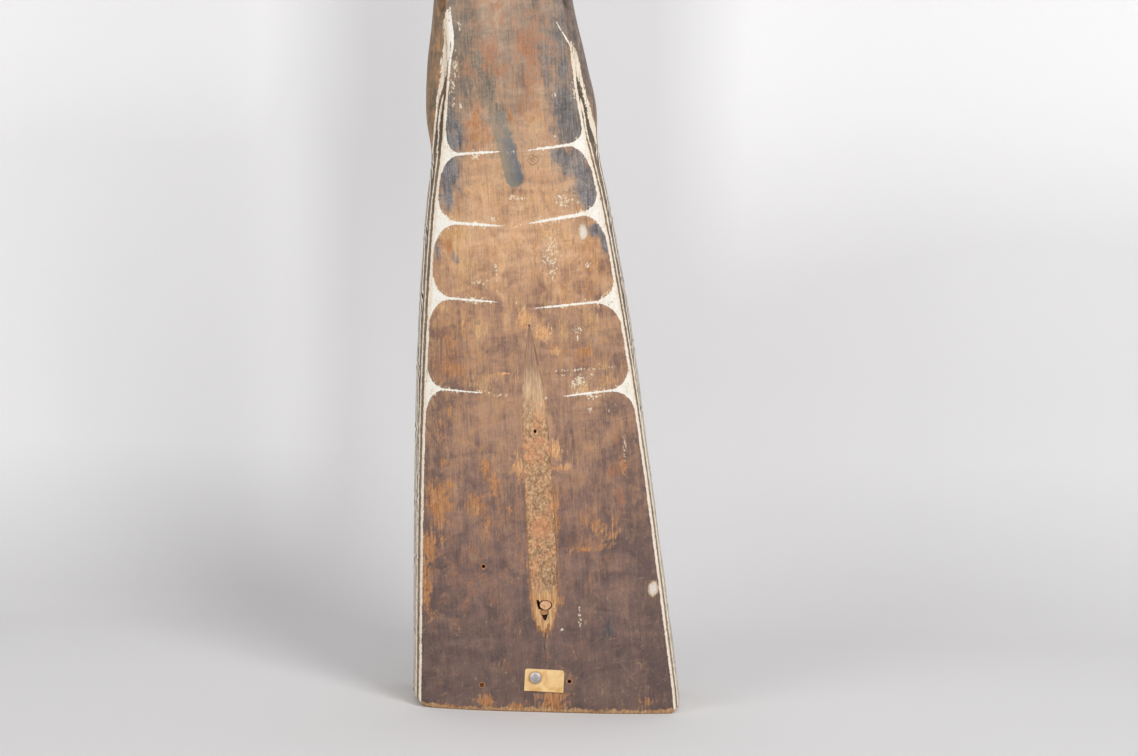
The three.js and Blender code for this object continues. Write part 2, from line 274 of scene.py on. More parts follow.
def section_at(height):
    face, left, right, crown, depth, shoulder = log_sizes(height)
    past_nose = max(0, height - NOSE_HEIGHT) / TIP_LENGTH
    shrink = max(TIP_END_SHARE, math.sqrt(max(0, 1 - past_nose**2)))
    drawn_in = (1 - shrink) * depth / 2
    return {
        "face": face * shrink, "left": left * shrink, "right": right * shrink, "crown": crown * shrink,
        "front": FACE_Y + drawn_in, "back": FACE_Y + depth - drawn_in,
        "shoulder": min(1, max(0, shoulder)),
    }


def face_y(x, section):
    flat = FACE_FLAT_SHARE * section["face"]
    share = max(0, abs(x) - flat) / (section["face"] - flat)
    return section["front"] + section["crown"] * share**FACE_CROWN_POWER


# Wear and tool marks on the log
CREASE_DEPTH = 5
CREASE_HOLLOW = 1.6
CREASE_LOW = (484, 498)
CREASE_HIGH = (640, 700)
FLANK_TOOLING = 0.5
BUTT_CORNER_LEFT = 10
BUTT_CORNER_RIGHT = 4
BUTT_ARRIS = 4.5
BUTT_ARRIS_FALL = 1.1
# Height over which the slant of the saw cut fades out of the rows
SAW_SLANT_FADE = 40
FACE_WAVE = 0.45
EDGE_WEAR = 1.6
EDGE_WEAR_REACH = 2.4
ADZE_MARK = 1.1
# The lip beside the left corner of the mouth stands out a little
LIP_SWELL = 3.6
LIP_DEPTH = 12
LIP_START = (572, 602)
LIP_END = (625, 690)
EYES = {"height": 700, "offset": 27, "across": 15, "high": 13, "along": 26}
NOSTRILS = {"height": 1008, "offset": 10, "across": 8, "high": 7, "along": 13}

# Mesh: columns go round from the middle of the deck by the left flank, the face and the right flank
DECK_COLUMNS = 16
FLANK_COLUMNS = 42
FACE_COLUMNS = 104
COLUMNS = 2 * (DECK_COLUMNS + FLANK_COLUMNS) + FACE_COLUMNS
# Rows go up the log, closest together on the painted part
PAINTED_TOP = 620
PAINTED_ROWS = 312
HEAD_ROWS = 88
TIP_ROWS = 9
row_heights = [i * PAINTED_TOP / PAINTED_ROWS for i in range(PAINTED_ROWS)]
row_heights += [mix(PAINTED_TOP, NOSE_HEIGHT, i / HEAD_ROWS) for i in range(HEAD_ROWS)]
tip_turns = [i / TIP_ROWS * math.pi / 2 for i in range(TIP_ROWS + 1)]
row_heights += [NOSE_HEIGHT + TIP_LENGTH * math.sin(turn) for turn in tip_turns]


def waves(u, v, w):
    """Smooth noise between -1 and 1. Where a plain number is the third place, it only picks a layer."""
    return noise.noise(Vector((u, v, w)))


def crease_at(height):
    return ease(*CREASE_LOW, height) * (1 - ease(*CREASE_HIGH, height))


def lip_swell(height):
    return LIP_SWELL * ease(*LIP_START, height) * (1 - ease(*LIP_END, height))


def deck_bump(x, height, spec):
    aside, above = abs(x) - spec["offset"], height - spec["height"]
    around = (aside / spec["across"]) ** 2 + (above / spec["along"]) ** 2
    return spec["high"] * max(0, 1 - around) ** 0.6


def flank_point(t, side, reach, section, height):
    """A point of one flank, from the edge of the face (t 0) back to the edge of the deck (t 1)."""
    edge = section["front"] + section["crown"]
    arris = min(DECK_ARRIS, (section["back"] - edge) / 4)
    inset = min(DECK_INSET, reach / 4)
    depth = section["back"] - arris - edge
    crease = crease_at(height)
    wall = crease * CREASE_DEPTH / depth
    outward = min(1, max(0, t - wall) / (FLANK_WIDEST_SHARE - wall))
    inward = max(0, t - FLANK_WIDEST_SHARE) / (1 - FLANK_WIDEST_SHARE)
    bevel = math.sin(outward * math.pi / 2)
    roll = math.sqrt(1 - (1 - outward) ** 2)
    bulge = (reach - section["face"]) * mix(bevel, roll, section["shoulder"])
    x = section["face"] + bulge - inset * inward**2
    if wall > 0 and t < 2 * wall:
        x -= CREASE_HOLLOW * crease * math.sin(t / (2 * wall) * math.pi)
    y = edge + depth * t
    tool = waves(side * 9 + y / 17, height / 31, 4.0)
    return x - FLANK_TOOLING * max(0, tool), y


def face_point(x, section, height):
    """A point of the painted face: gently wavy, with its edges worn round and nicked."""
    y = face_y(x, section)
    y += FACE_WAVE * (0.5 + 0.5 * waves(x / 34, height / 90, 1.0))
    from_edge = section["face"] - abs(x)
    if from_edge < EDGE_WEAR_REACH:
        nick = 0.6 + waves(math.copysign(7, x), height / 13, 2.0)
        y += EDGE_WEAR * max(0, nick) * (1 - from_edge / EDGE_WEAR_REACH) ** 2
    return y


def log_point(column, row):
    height = row_heights[row]
    section = section_at(height)
    deck_end, left_end = DECK_COLUMNS, DECK_COLUMNS + FLANK_COLUMNS
    face_end, right_end = left_end + FACE_COLUMNS, COLUMNS - DECK_COLUMNS
    if column <= deck_end or column >= right_end:
        share = column / DECK_COLUMNS if column <= deck_end else (COLUMNS - column) / DECK_COLUMNS
        side = -1 if column <= deck_end else 1
        reach = section["left"] if side < 0 else section["right"]
        edge = section["front"] + section["crown"]
        arris = min(DECK_ARRIS, (section["back"] - edge) / 4)
        x = side * share * (reach - min(DECK_INSET, reach / 4) - arris)
        y = section["back"]
        y += deck_bump(x, height, EYES) + deck_bump(x, height, NOSTRILS)
        adze = 0.5 + 0.5 * waves(x / 22, height / 26, 6.0)
        y -= ADZE_MARK * adze * min(1, 3 * (1 - share) + 0.2)
    elif column < left_end or column > face_end:
        side = -1 if column < left_end else 1
        steps = left_end - column if side < 0 else column - face_end
        reach = section["left"] if side < 0 else section["right"]
        x, y = flank_point(steps / FLANK_COLUMNS, side, reach, section, height)
        x *= side
    else:
        x = section["face"] * (2 * (column - left_end) / FACE_COLUMNS - 1)
        y = face_point(x, section, height)
    if x < 0:
        swell = ease(0.5 * section["face"], section["face"], -x)
        swell *= 1 - ease(section["face"] + 2, section["left"], -x)
        x -= swell * lip_swell(height) * (y < section["front"] + section["crown"] + LIP_DEPTH)
    # The saw cut's corners are knocked round
    for side, radius in ((-1, BUTT_CORNER_LEFT), (1, BUTT_CORNER_RIGHT)):
        if height < radius and x * side > section["face"] - radius:
            drop = radius - math.sqrt(radius**2 - (radius - height) ** 2)
            x -= side * drop * ease(section["face"] - 3 * radius, section["face"], x * side)
    if y < section["front"] + section["crown"] + 1 and height < BUTT_ARRIS:
        y += BUTT_ARRIS_FALL * (1 - height / BUTT_ARRIS) ** 2
    allowance = BUTT_ALLOWANCE / math.cos(BACK_TILT)
    level = (y * math.tan(BACK_TILT) - allowance) / math.cos(LEAN) - x * math.tan(LEAN)
    level *= max(0, 1 - height / SAW_SLANT_FADE)
    return log_to_room @ (Vector((x, y, height + level)) * MM)


def wrapped_skin(columns, rows, point_at):
    """A grid wrapped round into a tube, each point where point_at puts it, with both ends closed."""
    bm = bmesh.new()
    bmesh.ops.create_grid(bm, x_segments=columns, y_segments=rows, size=1)
    seam = []
    for vert in bm.verts:
        column = round((vert.co.x + 1) / 2 * columns)
        row = round((vert.co.y + 1) / 2 * rows)
        if column in (0, columns):
            seam.append(vert)
        vert.co = point_at(column % columns, row)
    bmesh.ops.remove_doubles(bm, verts=seam, dist=0.01 * MM)
    bmesh.ops.holes_fill(bm, edges=[e for e in bm.edges if e.is_boundary], sides=0)
    bmesh.ops.recalc_face_normals(bm, faces=bm.faces[:])
    return bm


prow = wrapped_skin(COLUMNS, len(row_heights) - 1, log_point)
prow = finish_piece("prow_log", prow)

# Cuts in the log: the mouth, the groove of the heart, the hole of its plug and three nail holes
MOUTH_START = 597
MOUTH_CORNER_DEPTH = 16
MOUTH_NOSE_DEPTH = 25
MOUTH_GAP = 7
MOUTH_END = 1060
MOUTH_REACH = 90
TEETH_START = 52
TOOTH_PITCH = 26
TOOTH_DEPTH = 6
HEART_X = 3.8
HEART_FOOT = 66
HEART_TOP = 331
HEART_HALF = 12.4
HEART_FOOT_HALF = 4.8
HEART_FOOT_SHIFT = -2
HEART_FOOT_FADE = 18
HEART_DEPTH = 6
HEART_STEP = 1.5
HEART_CHIP = 1.1
HEART_CHIP_FADE = 60
HEART_POINT_HALF = 0.7
PLUG_PLACE = (3.8, 87.8)
PLUG_HALF = (5.4, 4.4)
PLUG_GAP = 1.4
PLUG_HOLE_DEPTH = 13.9
# Nail holes as x, z, radius and depth: the first still holds its nail
NAIL_PLACE = (-55.3, 21.3)
NAIL_HOLES = ((*NAIL_PLACE, 1.9, 27), (-47.7, 124.5, 1.6, 10), (20.6, 20.3, 1.7, 9))
PIECE_GAP = 0.3
CUT_MARGIN = 12


def heart_middle(height):
    return HEART_X + HEART_FOOT_SHIFT * math.exp(-(height - HEART_FOOT) / HEART_FOOT_FADE)


def heart_half(height, side):
    """Half width of the groove on one side: it swells fast above its foot and runs out to a point."""
    share = (height - HEART_FOOT) / (HEART_TOP - HEART_FOOT)
    near_foot = math.exp(-(height - HEART_FOOT) / HEART_FOOT_FADE)
    half = mix(HEART_HALF, HEART_FOOT_HALF, near_foot) * (1 - share**5)
    chip = HEART_CHIP * waves(side * 5, height / 4.5, 8.0)
    chip *= ease(HEART_TOP, HEART_TOP - HEART_CHIP_FADE, height)
    return max(HEART_POINT_HALF, half + chip)


def heart_outline():
    count = round((HEART_TOP - HEART_FOOT) / HEART_STEP)
    heights = [mix(HEART_FOOT, HEART_TOP, (1 - math.cos(i / count * math.pi)) / 2) for i in range(count + 1)]
    left = [(heart_middle(h) - heart_half(h, -1), h) for h in heights]
    return left + [(heart_middle(h) + heart_half(h, 1), h) for h in reversed(heights)]


def oval(x, z, half_x, half_z, steps=20):
    turns = [2 * math.pi * i / steps for i in range(steps)]
    return [(x + half_x * math.cos(a), z + half_z * math.sin(a)) for a in turns]


def prism(outline, low, high, along_face=False):
    """A bar with this outline, through the depth of the log or, for the mouth, across the face."""
    bm = bmesh.new()
    points = [Vector((low, u, v)) if along_face else Vector((u, low, v)) for u, v in outline]
    face = bm.faces.new([bm.verts.new(p) for p in points])
    top = bmesh.ops.extrude_face_region(bm, geom=[face])["geom"]
    move = Vector((high - low, 0, 0)) if along_face else Vector((0, high - low, 0))
    bmesh.ops.translate(bm, verts=[v for v in top if isinstance(v, bmesh.types.BMVert)], vec=move)
    bmesh.ops.recalc_face_normals(bm, faces=bm.faces[:])
    bmesh.ops.transform(bm, matrix=log_mm_to_room, verts=bm.verts[:])
    return finish_piece("cutter", bm)


def bore(outline, depth):
    """A cut with this outline, square into the painted face."""
    return prism(outline, FACE_Y - CUT_MARGIN, FACE_Y + depth)


def carve(piece, cutters):
    for cutter in cutters:
        cut = piece.modifiers.new("cut", "BOOLEAN")
        cut.operation = "DIFFERENCE"
        cut.solver = "MANIFOLD"
        cut.object = cutter
    carved_piece = piece.evaluated_get(bpy.context.evaluated_depsgraph_get())
    whole = bpy.data.meshes.new_from_object(carved_piece)
    piece.modifiers.clear()
    piece.data = whole
    for cutter in cutters:
        bpy.data.objects.remove(cutter)


mouth_front, mouth_back = [], []
for i in range(1, math.ceil((MOUTH_END - MOUTH_START) / (TOOTH_PITCH / 2)) + 1):
    z = MOUTH_START + i * TOOTH_PITCH / 2
    share = (z - MOUTH_START) / (NOSE_HEIGHT + TIP_LENGTH - MOUTH_START)
    middle = FACE_Y + mix(MOUTH_CORNER_DEPTH, MOUTH_NOSE_DEPTH, share)
    if z - MOUTH_START > TEETH_START:
        middle += (1 if i % 2 else -1) * TOOTH_DEPTH / 2
    mouth_front.append((middle - MOUTH_GAP / 2, z))
    mouth_back.append((middle + MOUTH_GAP / 2, z))
mouth = [(FACE_Y + MOUTH_CORNER_DEPTH, MOUTH_START)] + mouth_back + mouth_front[::-1]
plug_hole = oval(
    PLUG_PLACE[0] - (PLUG_GAP - PIECE_GAP) / 2, PLUG_PLACE[1],
    PLUG_HALF[0] + (PLUG_GAP + PIECE_GAP) / 2, PLUG_HALF[1] + PIECE_GAP,
)
carve(prow, [
    prism(mouth, -MOUTH_REACH, MOUTH_REACH, along_face=True),
    bore(heart_outline(), HEART_DEPTH),
    bore(plug_hole, PLUG_HOLE_DEPTH),
    *(bore(oval(x, z, radius, radius), depth) for x, z, radius, depth in NAIL_HOLES),
])
prow.data.set_sharp_from_angle(angle=math.radians(38))

# Where the paint and the wear lie on the log, kept as fields on its mesh.
# A rib is a white line from the border of the face inward: its height at the border and how far it
# falls, its reach, the heights of its flared root's ends, the root's reach and its thickness
LEFT_RIBS = (
    (480.4, 0.2, 46, 500, 466, 13, 2.6),
    (423.6, 6.6, 55, 442, 404, 18, 2.9),
    (359.4, 7.1, 55, 378, 341, 18, 2.1),
    (281.0, 6.3, 48, 297, 262, 15, 1.8),
)
RIGHT_RIBS = (
    (483.8, 3.8, 47, 494, 464, 15, 2.7),
    (424.8, 7.0, 61, 439, 403, 17, 3.2),
    (347.7, 2.9, 69, 363, 328, 20, 2.3),
    (270.8, 3.0, 58, 288, 254, 18, 2.1),
)
# How far above and below its root a rib is looked for, the width of the border that it starts from, and
# the length of its pointed end
RIB_LEVELS = 24
BORDER_WIDTH = 2.5
RIB_TAPER = 14
# Half width that stands for no paint at all
BARE = -9
# Bands and strands of the same paint beside the throat: height, distance in from the edge of the face,
# less than nothing out on the cheek, and half width
LEFT_BAND = (
    (607, 4.2, 0.3), (598, 4.4, 1.0), (586, 4.7, 1.2), (569, 3.9, 1.1), (559, 2.4, 1.1),
    (548, 2.2, 1.0), (538, 1.8, 1.0), (528, 1.4, 1.0), (507, 1.1, 1.1), (496, 1.0, 1.0),
    (470, 0.8, 1.1),
)
RIGHT_BAND = (
    (590, 8.8, 0.3), (582, 5.9, 0.6), (573, 1.9, 0.8), (566, -1.2, 1.3), (556, -0.6, 1.6),
    (546, 0.2, 1.2), (536, 0.7, 1.1), (516, 1.1, 1.0), (506, 0.8, 1.0), (497, 1.1, 1.0),
    (470, 0.8, 1.2),
)
LEFT_OUTER = (
    (606, 2.4, 0.6), (601, 2.0, 2.0), (595, 0.9, 3.8), (586, 0.6, 4.2), (570, -0.8, 4.3),
    (560, -2.2, 4.0), (549, -2.8, 3.6), (543, -3.8, 2.7), (538, -4.8, 1.9), (528, -7.0, 1.1),
    (517, -7.4, 1.0), (507, -7.9, 0.9), (496, -8.5, 0.7), (482, -9.2, 0.6),
)
LEFT_INNER = (
    (534, -1.6, 0.3), (528, -2.6, 0.8), (517, -4.1, 0.8), (507, -4.9, 0.8), (496, -4.2, 0.6),
    (482, -4.6, 0.6),
)
RIGHT_OUTER = (
    (573, -1.2, 0.4), (567, -2.0, 2.2), (556, -2.8, 3.9), (546, -2.6, 3.6), (540, -4.0, 2.8),
    (536, -4.7, 2.3), (526, -5.4, 2.2), (516, -6.7, 2.4), (506, -7.2, 2.5), (497, -8.1, 2.2),
    (482, -9.6, 1.8),
)
RIGHT_INNER = ((524, -1.2, 0.4), (516, -1.7, 0.8), (506, -2.0, 0.7), (497, -1.6, 0.6), (482, -2.0, 0.6))
# Patches as (x, z, half width, half height, strength)
WORN_PATCHES = (
    (-84, 181, 11, 17, 1.1), (-72, 197, 4, 5, 0.8), (-94, 141, 8, 16, 0.95),
    (-99, 107, 5, 22, 0.95), (-81, 151, 8, 5, 0.7), (-40, 211, 5, 10, 0.9), (-35, 193, 5, 12, 0.9),
    (-50, 178, 9, 9, 0.85), (-41, 164, 6, 11, 0.75), (-13, 207, 4, 10, 1.1), (-31, 145, 3, 5, 0.8),
    (-23, 172, 2, 3, 1.0), (-78, 214, 3, 5, 0.9), (19, 222, 5, 8, 1.2), (24, 206, 11, 3, 1.0),
    (17, 167, 2.5, 26, 1.1), (53, 155, 10, 10, 0.7), (65, 150, 6, 8, 0.8), (43, 134, 13, 2, 0.9),
    (-69, 259, 3, 5, 0.8), (-77, 245, 4, 8, 0.8), (-52, 7, 6, 5, 1.1), (-90, 2, 14, 4, 0.9),
    (5, 4, 10, 8, 1.2), (-25, 1, 9, 3, 1.0), (86, -2, 7, 4, 0.8), (17, 90, 4, 4, 0.8),
    (2, 70, 5, 7, 1.2), (60, 137, 7, 2, 0.6), (-62, 403, 4, 8, 1.1), (-65, 297, 11, 7, 0.8),
    (-67, 322, 6, 10, 0.7), (0, 336, 6, 7, 1.1), (15, 323, 6, 6, 1.3), (-20, 290, 8, 1, 1.3),
    (24, 306, 5, 3, 1.1), (50, 305, 6, 4, 1.1), (-50, 309, 6, 1, 1.0), (59, 379, 11, 29, 0.7),
    (-2, 510, 2, 5, 1.3), (78, 205, 3, 8, 0.9), (-52, 335, 3, 12, 0.7), (12, 395, 5, 9, 0.6),
    (36, 356, 4, 16, 0.6), (-32, 509, 8, 18, 0.7),
)
GOLD_PATCHES = (
    (-39, 330, 6, 8, 1.0), (-72, 350, 9, 7, 0.9), (-53, 341, 2.5, 11, 0.8), (-37, 283, 17, 8, 0.7),
    (33, 327, 4, 11, 0.9), (57, 331, 6, 14, 0.9), (46, 273, 9, 6, 1.0), (-54, 413, 12, 6, 1.3),
    (-57, 430, 5, 5, 1.0), (-53, 393, 4, 24, 0.9), (-44, 386, 6, 14, 0.8), (-17, 386, 4, 6, 0.8),
    (34, 400, 12, 12, 0.6), (16, 437, 20, 8, 0.6), (-24, 452, 14, 16, 0.6), (70, 279, 7, 5, 1.0),
    (62, 292, 9, 5, 0.7), (48, 345, 20, 4, 0.7), (64, 372, 4, 20, 0.6), (28, 470, 10, 10, 0.5),
    (57, 566, 5, 7, 1.0), (-8, 287, 12, 6, 0.5), (-86, 269, 5, 5, 0.6), (19, 500, 8, 14, 0.7),
    (24, 520, 5, 16, 0.5),
)
LIGHT_PATCHES = (
    (23, 533, 6, 20, 0.9), (19, 499, 11, 15, 1.3), (-28, 508, 9, 25, 0.9), (-28, 452, 18, 25, 0.9),
    (21, 464, 13, 25, 0.9), (6, 423, 27, 14, 0.7), (32, 401, 14, 14, 0.6), (-13, 424, 22, 13, 0.6),
    (-57, 400, 14, 14, 0.9), (59, 379, 9, 30, 0.6), (-4, 600, 18, 24, 1.3), (-6, 238, 26, 26, 1.1),
    (-30, 250, 16, 16, 1.6), (2, 392, 26, 16, 0.9), (-54, 384, 12, 14, 0.9), (32, 338, 16, 14, 0.8),
    (70, 320, 12, 16, 0.7), (58, 372, 12, 12, 0.7), (-36, 332, 9, 12, 0.8), (-38, 448, 10, 20, 0.7),
)
DARK_PATCHES = (
    (-66, 316, 16, 18, 1.2), (-80, 280, 18, 28, 1.3), (-76, 254, 14, 12, 1.3),
    (66, 215, 16, 22, 0.8), (58, 236, 16, 13, 0.8), (60, 165, 22, 28, 0.75), (88, 158, 15, 46, 1.2),
    (86, 200, 14, 26, 1.0), (98, 12, 22, 18, 0.7), (-92, 60, 20, 50, 0.3), (-60, 8, 26, 14, 0.3),
    (-50, 285, 26, 14, 0.5), (-14, 316, 17, 20, 0.3), (13, 347, 7, 22, 0.5),
    (-30, 372, 11, 18, 0.7), (-6, 345, 12, 16, 0.35), (-29, 580, 14, 34, 0.9),
    (22, 586, 10, 26, 0.6), (20, 372, 8, 14, 0.5), (-90, 196, 10, 30, 0.7),
)
RED_PATCHES = (
    (69, 199, 7, 5, 0.9), (74, 176, 5, 9, 0.9), (74, 224, 2, 13, 0.8), (-6, 592, 8, 12, 0.7),
    (-16, 567, 7, 10, 0.8), (-15, 548, 11, 8, 0.8), (19, 564, 10, 20, 0.8), (8, 518, 6, 9, 0.9),
    (-33, 551, 6, 6, 0.7), (-32, 500, 9, 14, 0.7), (-60, 120, 30, 30, 0.35), (20, 150, 40, 40, 0.3),
    (-65, 300, 12, 14, 0.8), (24, 306, 9, 6, 0.6), (50, 300, 12, 10, 0.5), (16, 530, 9, 24, 0.6),
    (-28, 520, 7, 20, 0.5),
)
SOOT_PATCHES = (
    (45, 518, 9, 14, 1.3), (48, 499, 12, 16, 1.0), (46, 547, 7, 12, 0.9), (54, 520, 6, 30, 0.8),
    (38, 473, 6, 7, 1.1), (50, 466, 11, 10, 1.3), (60, 449, 9, 17, 1.3), (63, 433, 7, 9, 1.1),
    (68, 409, 8, 5, 1.3), (73, 399, 3, 8, 1.3), (-53, 505, 7, 24, 1.0), (-51, 493, 8, 9, 1.1),
    (-52, 530, 6, 14, 0.8), (-57, 467, 9, 14, 1.2), (-61, 448, 6, 15, 1.0), (-50, 450, 5, 12, 0.6),
    (57, 65, 7, 9, 0.7), (-24, 546, 3, 7, 0.9), (44, 585, 8, 30, 0.7), (-42, 585, 8, 30, 0.6),
    (-37, 536, 10, 16, 0.6), (-71, 397, 3, 7, 0.7), (-57, 392, 3, 6, 0.5), (32, 548, 9, 26, 0.5),
    (-20, 532, 7, 18, 1.0), (-15, 512, 9, 11, 0.9), (-33, 588, 9, 30, 0.6), (-31, 556, 8, 14, 0.5),
    (0, 556, 5, 14, 0.4),
)
# The dark stroke: where its middle starts and ends, its half width there, and the height of its foot
STROKE_TOP = (-12, 508)
STROKE_FOOT = (-1.2, 456)
STROKE_HALF = (10.5, 9)
STROKE_END = 440
# How far out the dark wood between the strands beside the throat reaches, and how far back
BETWEEN_LEVELS = (484, 497, 512, 530, 560)
BETWEEN_REACH = (9.5, 8.5, 7.5, 6, 3)
BETWEEN_DEPTH = 34
PALE_PATCHES = (
    (26, 389, 8, 20, 0.8), (42, 436, 10, 9, 0.8), (-3, 441, 4, 2, 1.0), (0, 439, 8, 0.8, 1.2),
    (46, 324, 4, 4, 0.9), (45, 318, 1, 4, 1.1), (22, 324, 0.7, 6, 1.4), (24, 336, 2, 1.5, 1.0),
    (30, 285, 2, 2, 1.1), (55, 284, 2, 3, 1.0), (43, 278, 6, 7, 1.1), (53, 266, 4, 3, 1.2),
    (52, 254, 1.5, 2.5, 1.3), (68, 253, 1.2, 1.2, 1.4), (58, 266, 2, 1, 1.4),
    (-22, 378, 0.8, 7, 1.4), (-21, 360, 0.7, 6, 1.2), (-38, 369, 9, 3, 0.7), (57, 379, 2, 2, 1.4),
    (-41, 589, 1.2, 4, 1.2), (-44, 521, 1, 5, 1.5), (56, 528, 6, 7, 1.0), (35, 490, 2, 3, 0.9),
    (59, 557, 6, 6, 1.0), (-33, 478, 4, 3, 1.3), (-22, 423, 4, 2, 1.1), (31, 285, 9, 1, 0.9),
    (37, 525, 2, 2, 1.0), (80, 220, 1.0, 10, 1.3), (33, 76, 1.0, 14, 1.0),
    (16.8, 66, 1.1, 1.1, 2.2), (43, 290, 30, 0.6, 0.8), (-64, 56, 1.5, 1.5, 1.0),
    (-46, 556, 3, 12, 0.9), (-51, 535, 3, 16, 0.8),
)
DABS = ((54.6, 407.7, 3.6, 6.2, 1.0), (97.7, 95.8, 4.2, 6.4, 1.0))


def log_millimetres(material):
    """Where a material's point lies in the log's frame, in millimetres."""
    return put(material, "Mapping", put(material, "TexCoord").outputs["Object"], *MAPPED_TO_LOG)


def patches(x, z, spots):
    """Soft oval spots, each fading outwards from its middle."""
    field = np.zeros_like(x)
    for px, pz, half_x, half_z, strength in spots:
        spread = ((x - px) / half_x) ** 2 + ((z - pz) / half_z) ** 2
        field = np.maximum(field, strength * np.exp(-0.7 * spread))
    return field


def field_on(piece, name, *values):
    layer = piece.data.attributes.new(name, "FLOAT_VECTOR", "POINT")
    layer.data.foreach_set("vector", np.stack(values, axis=1).astype(np.float32).ravel())


def field_parts(material, name):
    """The three numbers of a field, for a material."""
    stored = put(material, "Attribute", attribute_name=name).outputs["Vector"]
    return put(material, "SeparateXYZ", stored).outputs


def log_places(piece):
    """Every vertex of a piece in the log's frame, in millimetres."""
    flat = np.empty(len(piece.data.vertices) * 3, dtype=np.float32)
    piece.data.vertices.foreach_get("co", flat)
    turn = np.array(room_to_log.to_3x3())
    return ((flat.reshape(-1, 3) @ turn.T + np.array(room_to_log.translation)) / MM).T


def strand_on(x, z, inward, left, right):
    """Each point's distance from the middle of a strand, and the strand's half width at its height."""
    apart, half = np.zeros_like(z), np.zeros_like(z)
    for strand, this_side in ((left, x < 0), (right, x >= 0)):
        levels, places, halves = zip(*strand[::-1])
        apart = np.where(this_side, inward - np.interp(z, levels, places), apart)
        half = np.where(this_side, np.interp(z, levels, halves, left=BARE, right=BARE), half)
    return apart, half


def across_groove(x, z):
    """Each point's place across the groove, from its middle, and the groove's half width there."""
    levels = np.arange(HEART_FOOT, HEART_TOP + 1, 1)
    lefts, rights = ([heart_half(level, side) for level in levels] for side in (-1, 1))
    across = x - np.interp(z, levels, [heart_middle(level) for level in levels])
    return across, np.where(across < 0, np.interp(z, levels, lefts), np.interp(z, levels, rights))


x, y, z = log_places(prow)
heights = np.arange(0, NOSE_HEIGHT + TIP_LENGTH + 1, 2)
sections = [section_at(h) for h in heights]
half_face = np.interp(z, heights, [s["face"] for s in sections])
half_face += np.where(x < 0, np.interp(z, heights, [lip_swell(h) for h in heights]), 0)
edge_y = np.interp(z, heights, [s["front"] + s["crown"] for s in sections])
painted_face = (y < edge_y + 0.9) & (np.abs(x) < half_face + 0.5)
from_edge = np.where(painted_face, half_face - np.abs(x), np.minimum(0, edge_y - y))
rib_q = np.full_like(x, 99.0)
rib_half = np.full_like(x, -99.0)
for side, ribs in ((-1, LEFT_RIBS), (1, RIGHT_RIBS)):
    this_side = x * side > 0
    inward = from_edge - BORDER_WIDTH
    for level, fall, reach, high, low, root_reach, thick in ribs:
        near = this_side & (np.abs(z - level) < RIB_LEVELS) & (from_edge > -1)
        q = z - level + fall * inward / reach
        taper = np.clip((reach + 2 - inward) / RIB_TAPER, BARE, 1)
        thinner = np.sqrt(np.clip(taper, 0, 1)) * (1 - 0.35 * inward / reach)
        half = thick / 2 * np.where(taper > 0, thinner, taper)
        root = np.where(q > 0, high - level, level - low)
        near_root = np.clip(1 - inward / root_reach, 0, 1)
        half = half + root * (1 - np.sqrt(1 - near_root**2))
        rib_q = np.where(near, q, rib_q)
        rib_half = np.where(near, half, rib_half)
on_stroke = np.clip((STROKE_TOP[1] - z) / (STROKE_TOP[1] - STROKE_FOOT[1]), 0, 1)
from_stroke = np.hypot(
    x - mix(STROKE_TOP[0], STROKE_FOOT[0], on_stroke),
    z - mix(STROKE_TOP[1], STROKE_FOOT[1], on_stroke),
)
stroke = np.clip((mix(*STROKE_HALF, on_stroke) - from_stroke) / 4, 0, 1.2)
stroke *= np.clip((z - STROKE_END) / 4, 0, 1) * mix(0.45, 1, on_stroke)
inward = half_face - np.abs(x)
# Each field holds three numbers for every vertex. The wood reads them back with field_parts.
field_on(prow, "lines", from_edge, *strand_on(x, z, inward, LEFT_BAND, RIGHT_BAND))
field_on(prow, "ribs", rib_q, rib_half, painted_face.astype(float))
field_on(
    prow, "wear", patches(x, z, WORN_PATCHES), patches(x, z, LIGHT_PATCHES), patches(x, z, RED_PATCHES),
)
field_on(prow, "marks", patches(x, z, SOOT_PATCHES), patches(x, z, GOLD_PATCHES), stroke)
from_middle, groove_half = across_groove(x, z)
from_heart = np.abs(from_middle) - groove_half
from_heart = np.maximum(from_heart, np.maximum(HEART_FOOT - z, z - HEART_TOP))
from_heart = np.where(y < FACE_Y + 12, from_heart, 99)
from_hole = np.full_like(x, 99.0)
for hole in NAIL_HOLES:
    from_hole = np.minimum(from_hole, np.hypot(x - hole[0], z - hole[1]))
on_deck = y > np.interp(z, heights, [s["back"] for s in sections]) - 3
eye_ring = np.hypot(np.abs(x) - EYES["offset"], (z - EYES["height"]) * EYES["across"] / EYES["along"])
between = np.clip((np.interp(z, BETWEEN_LEVELS, BETWEEN_REACH) + inward) / 1.5, 0, 1)
between *= np.clip((556 - z) / 14, 0, 1) * np.clip((z - 478) / 6, 0, 1)
between *= ~painted_face & (y < edge_y + BETWEEN_DEPTH)
field_on(prow, "outer_strand", *strand_on(x, z, inward, LEFT_OUTER, RIGHT_OUTER), between)
field_on(
    prow, "inner_strand", *strand_on(x, z, inward, LEFT_INNER, RIGHT_INNER), patches(x, z, DARK_PATCHES),
)
field_on(prow, "spots", patches(x, z, DABS) * painted_face, from_heart, from_hole)
field_on(prow, "head", np.where(on_deck, eye_ring, 99), patches(x, z, PALE_PATCHES), inward)

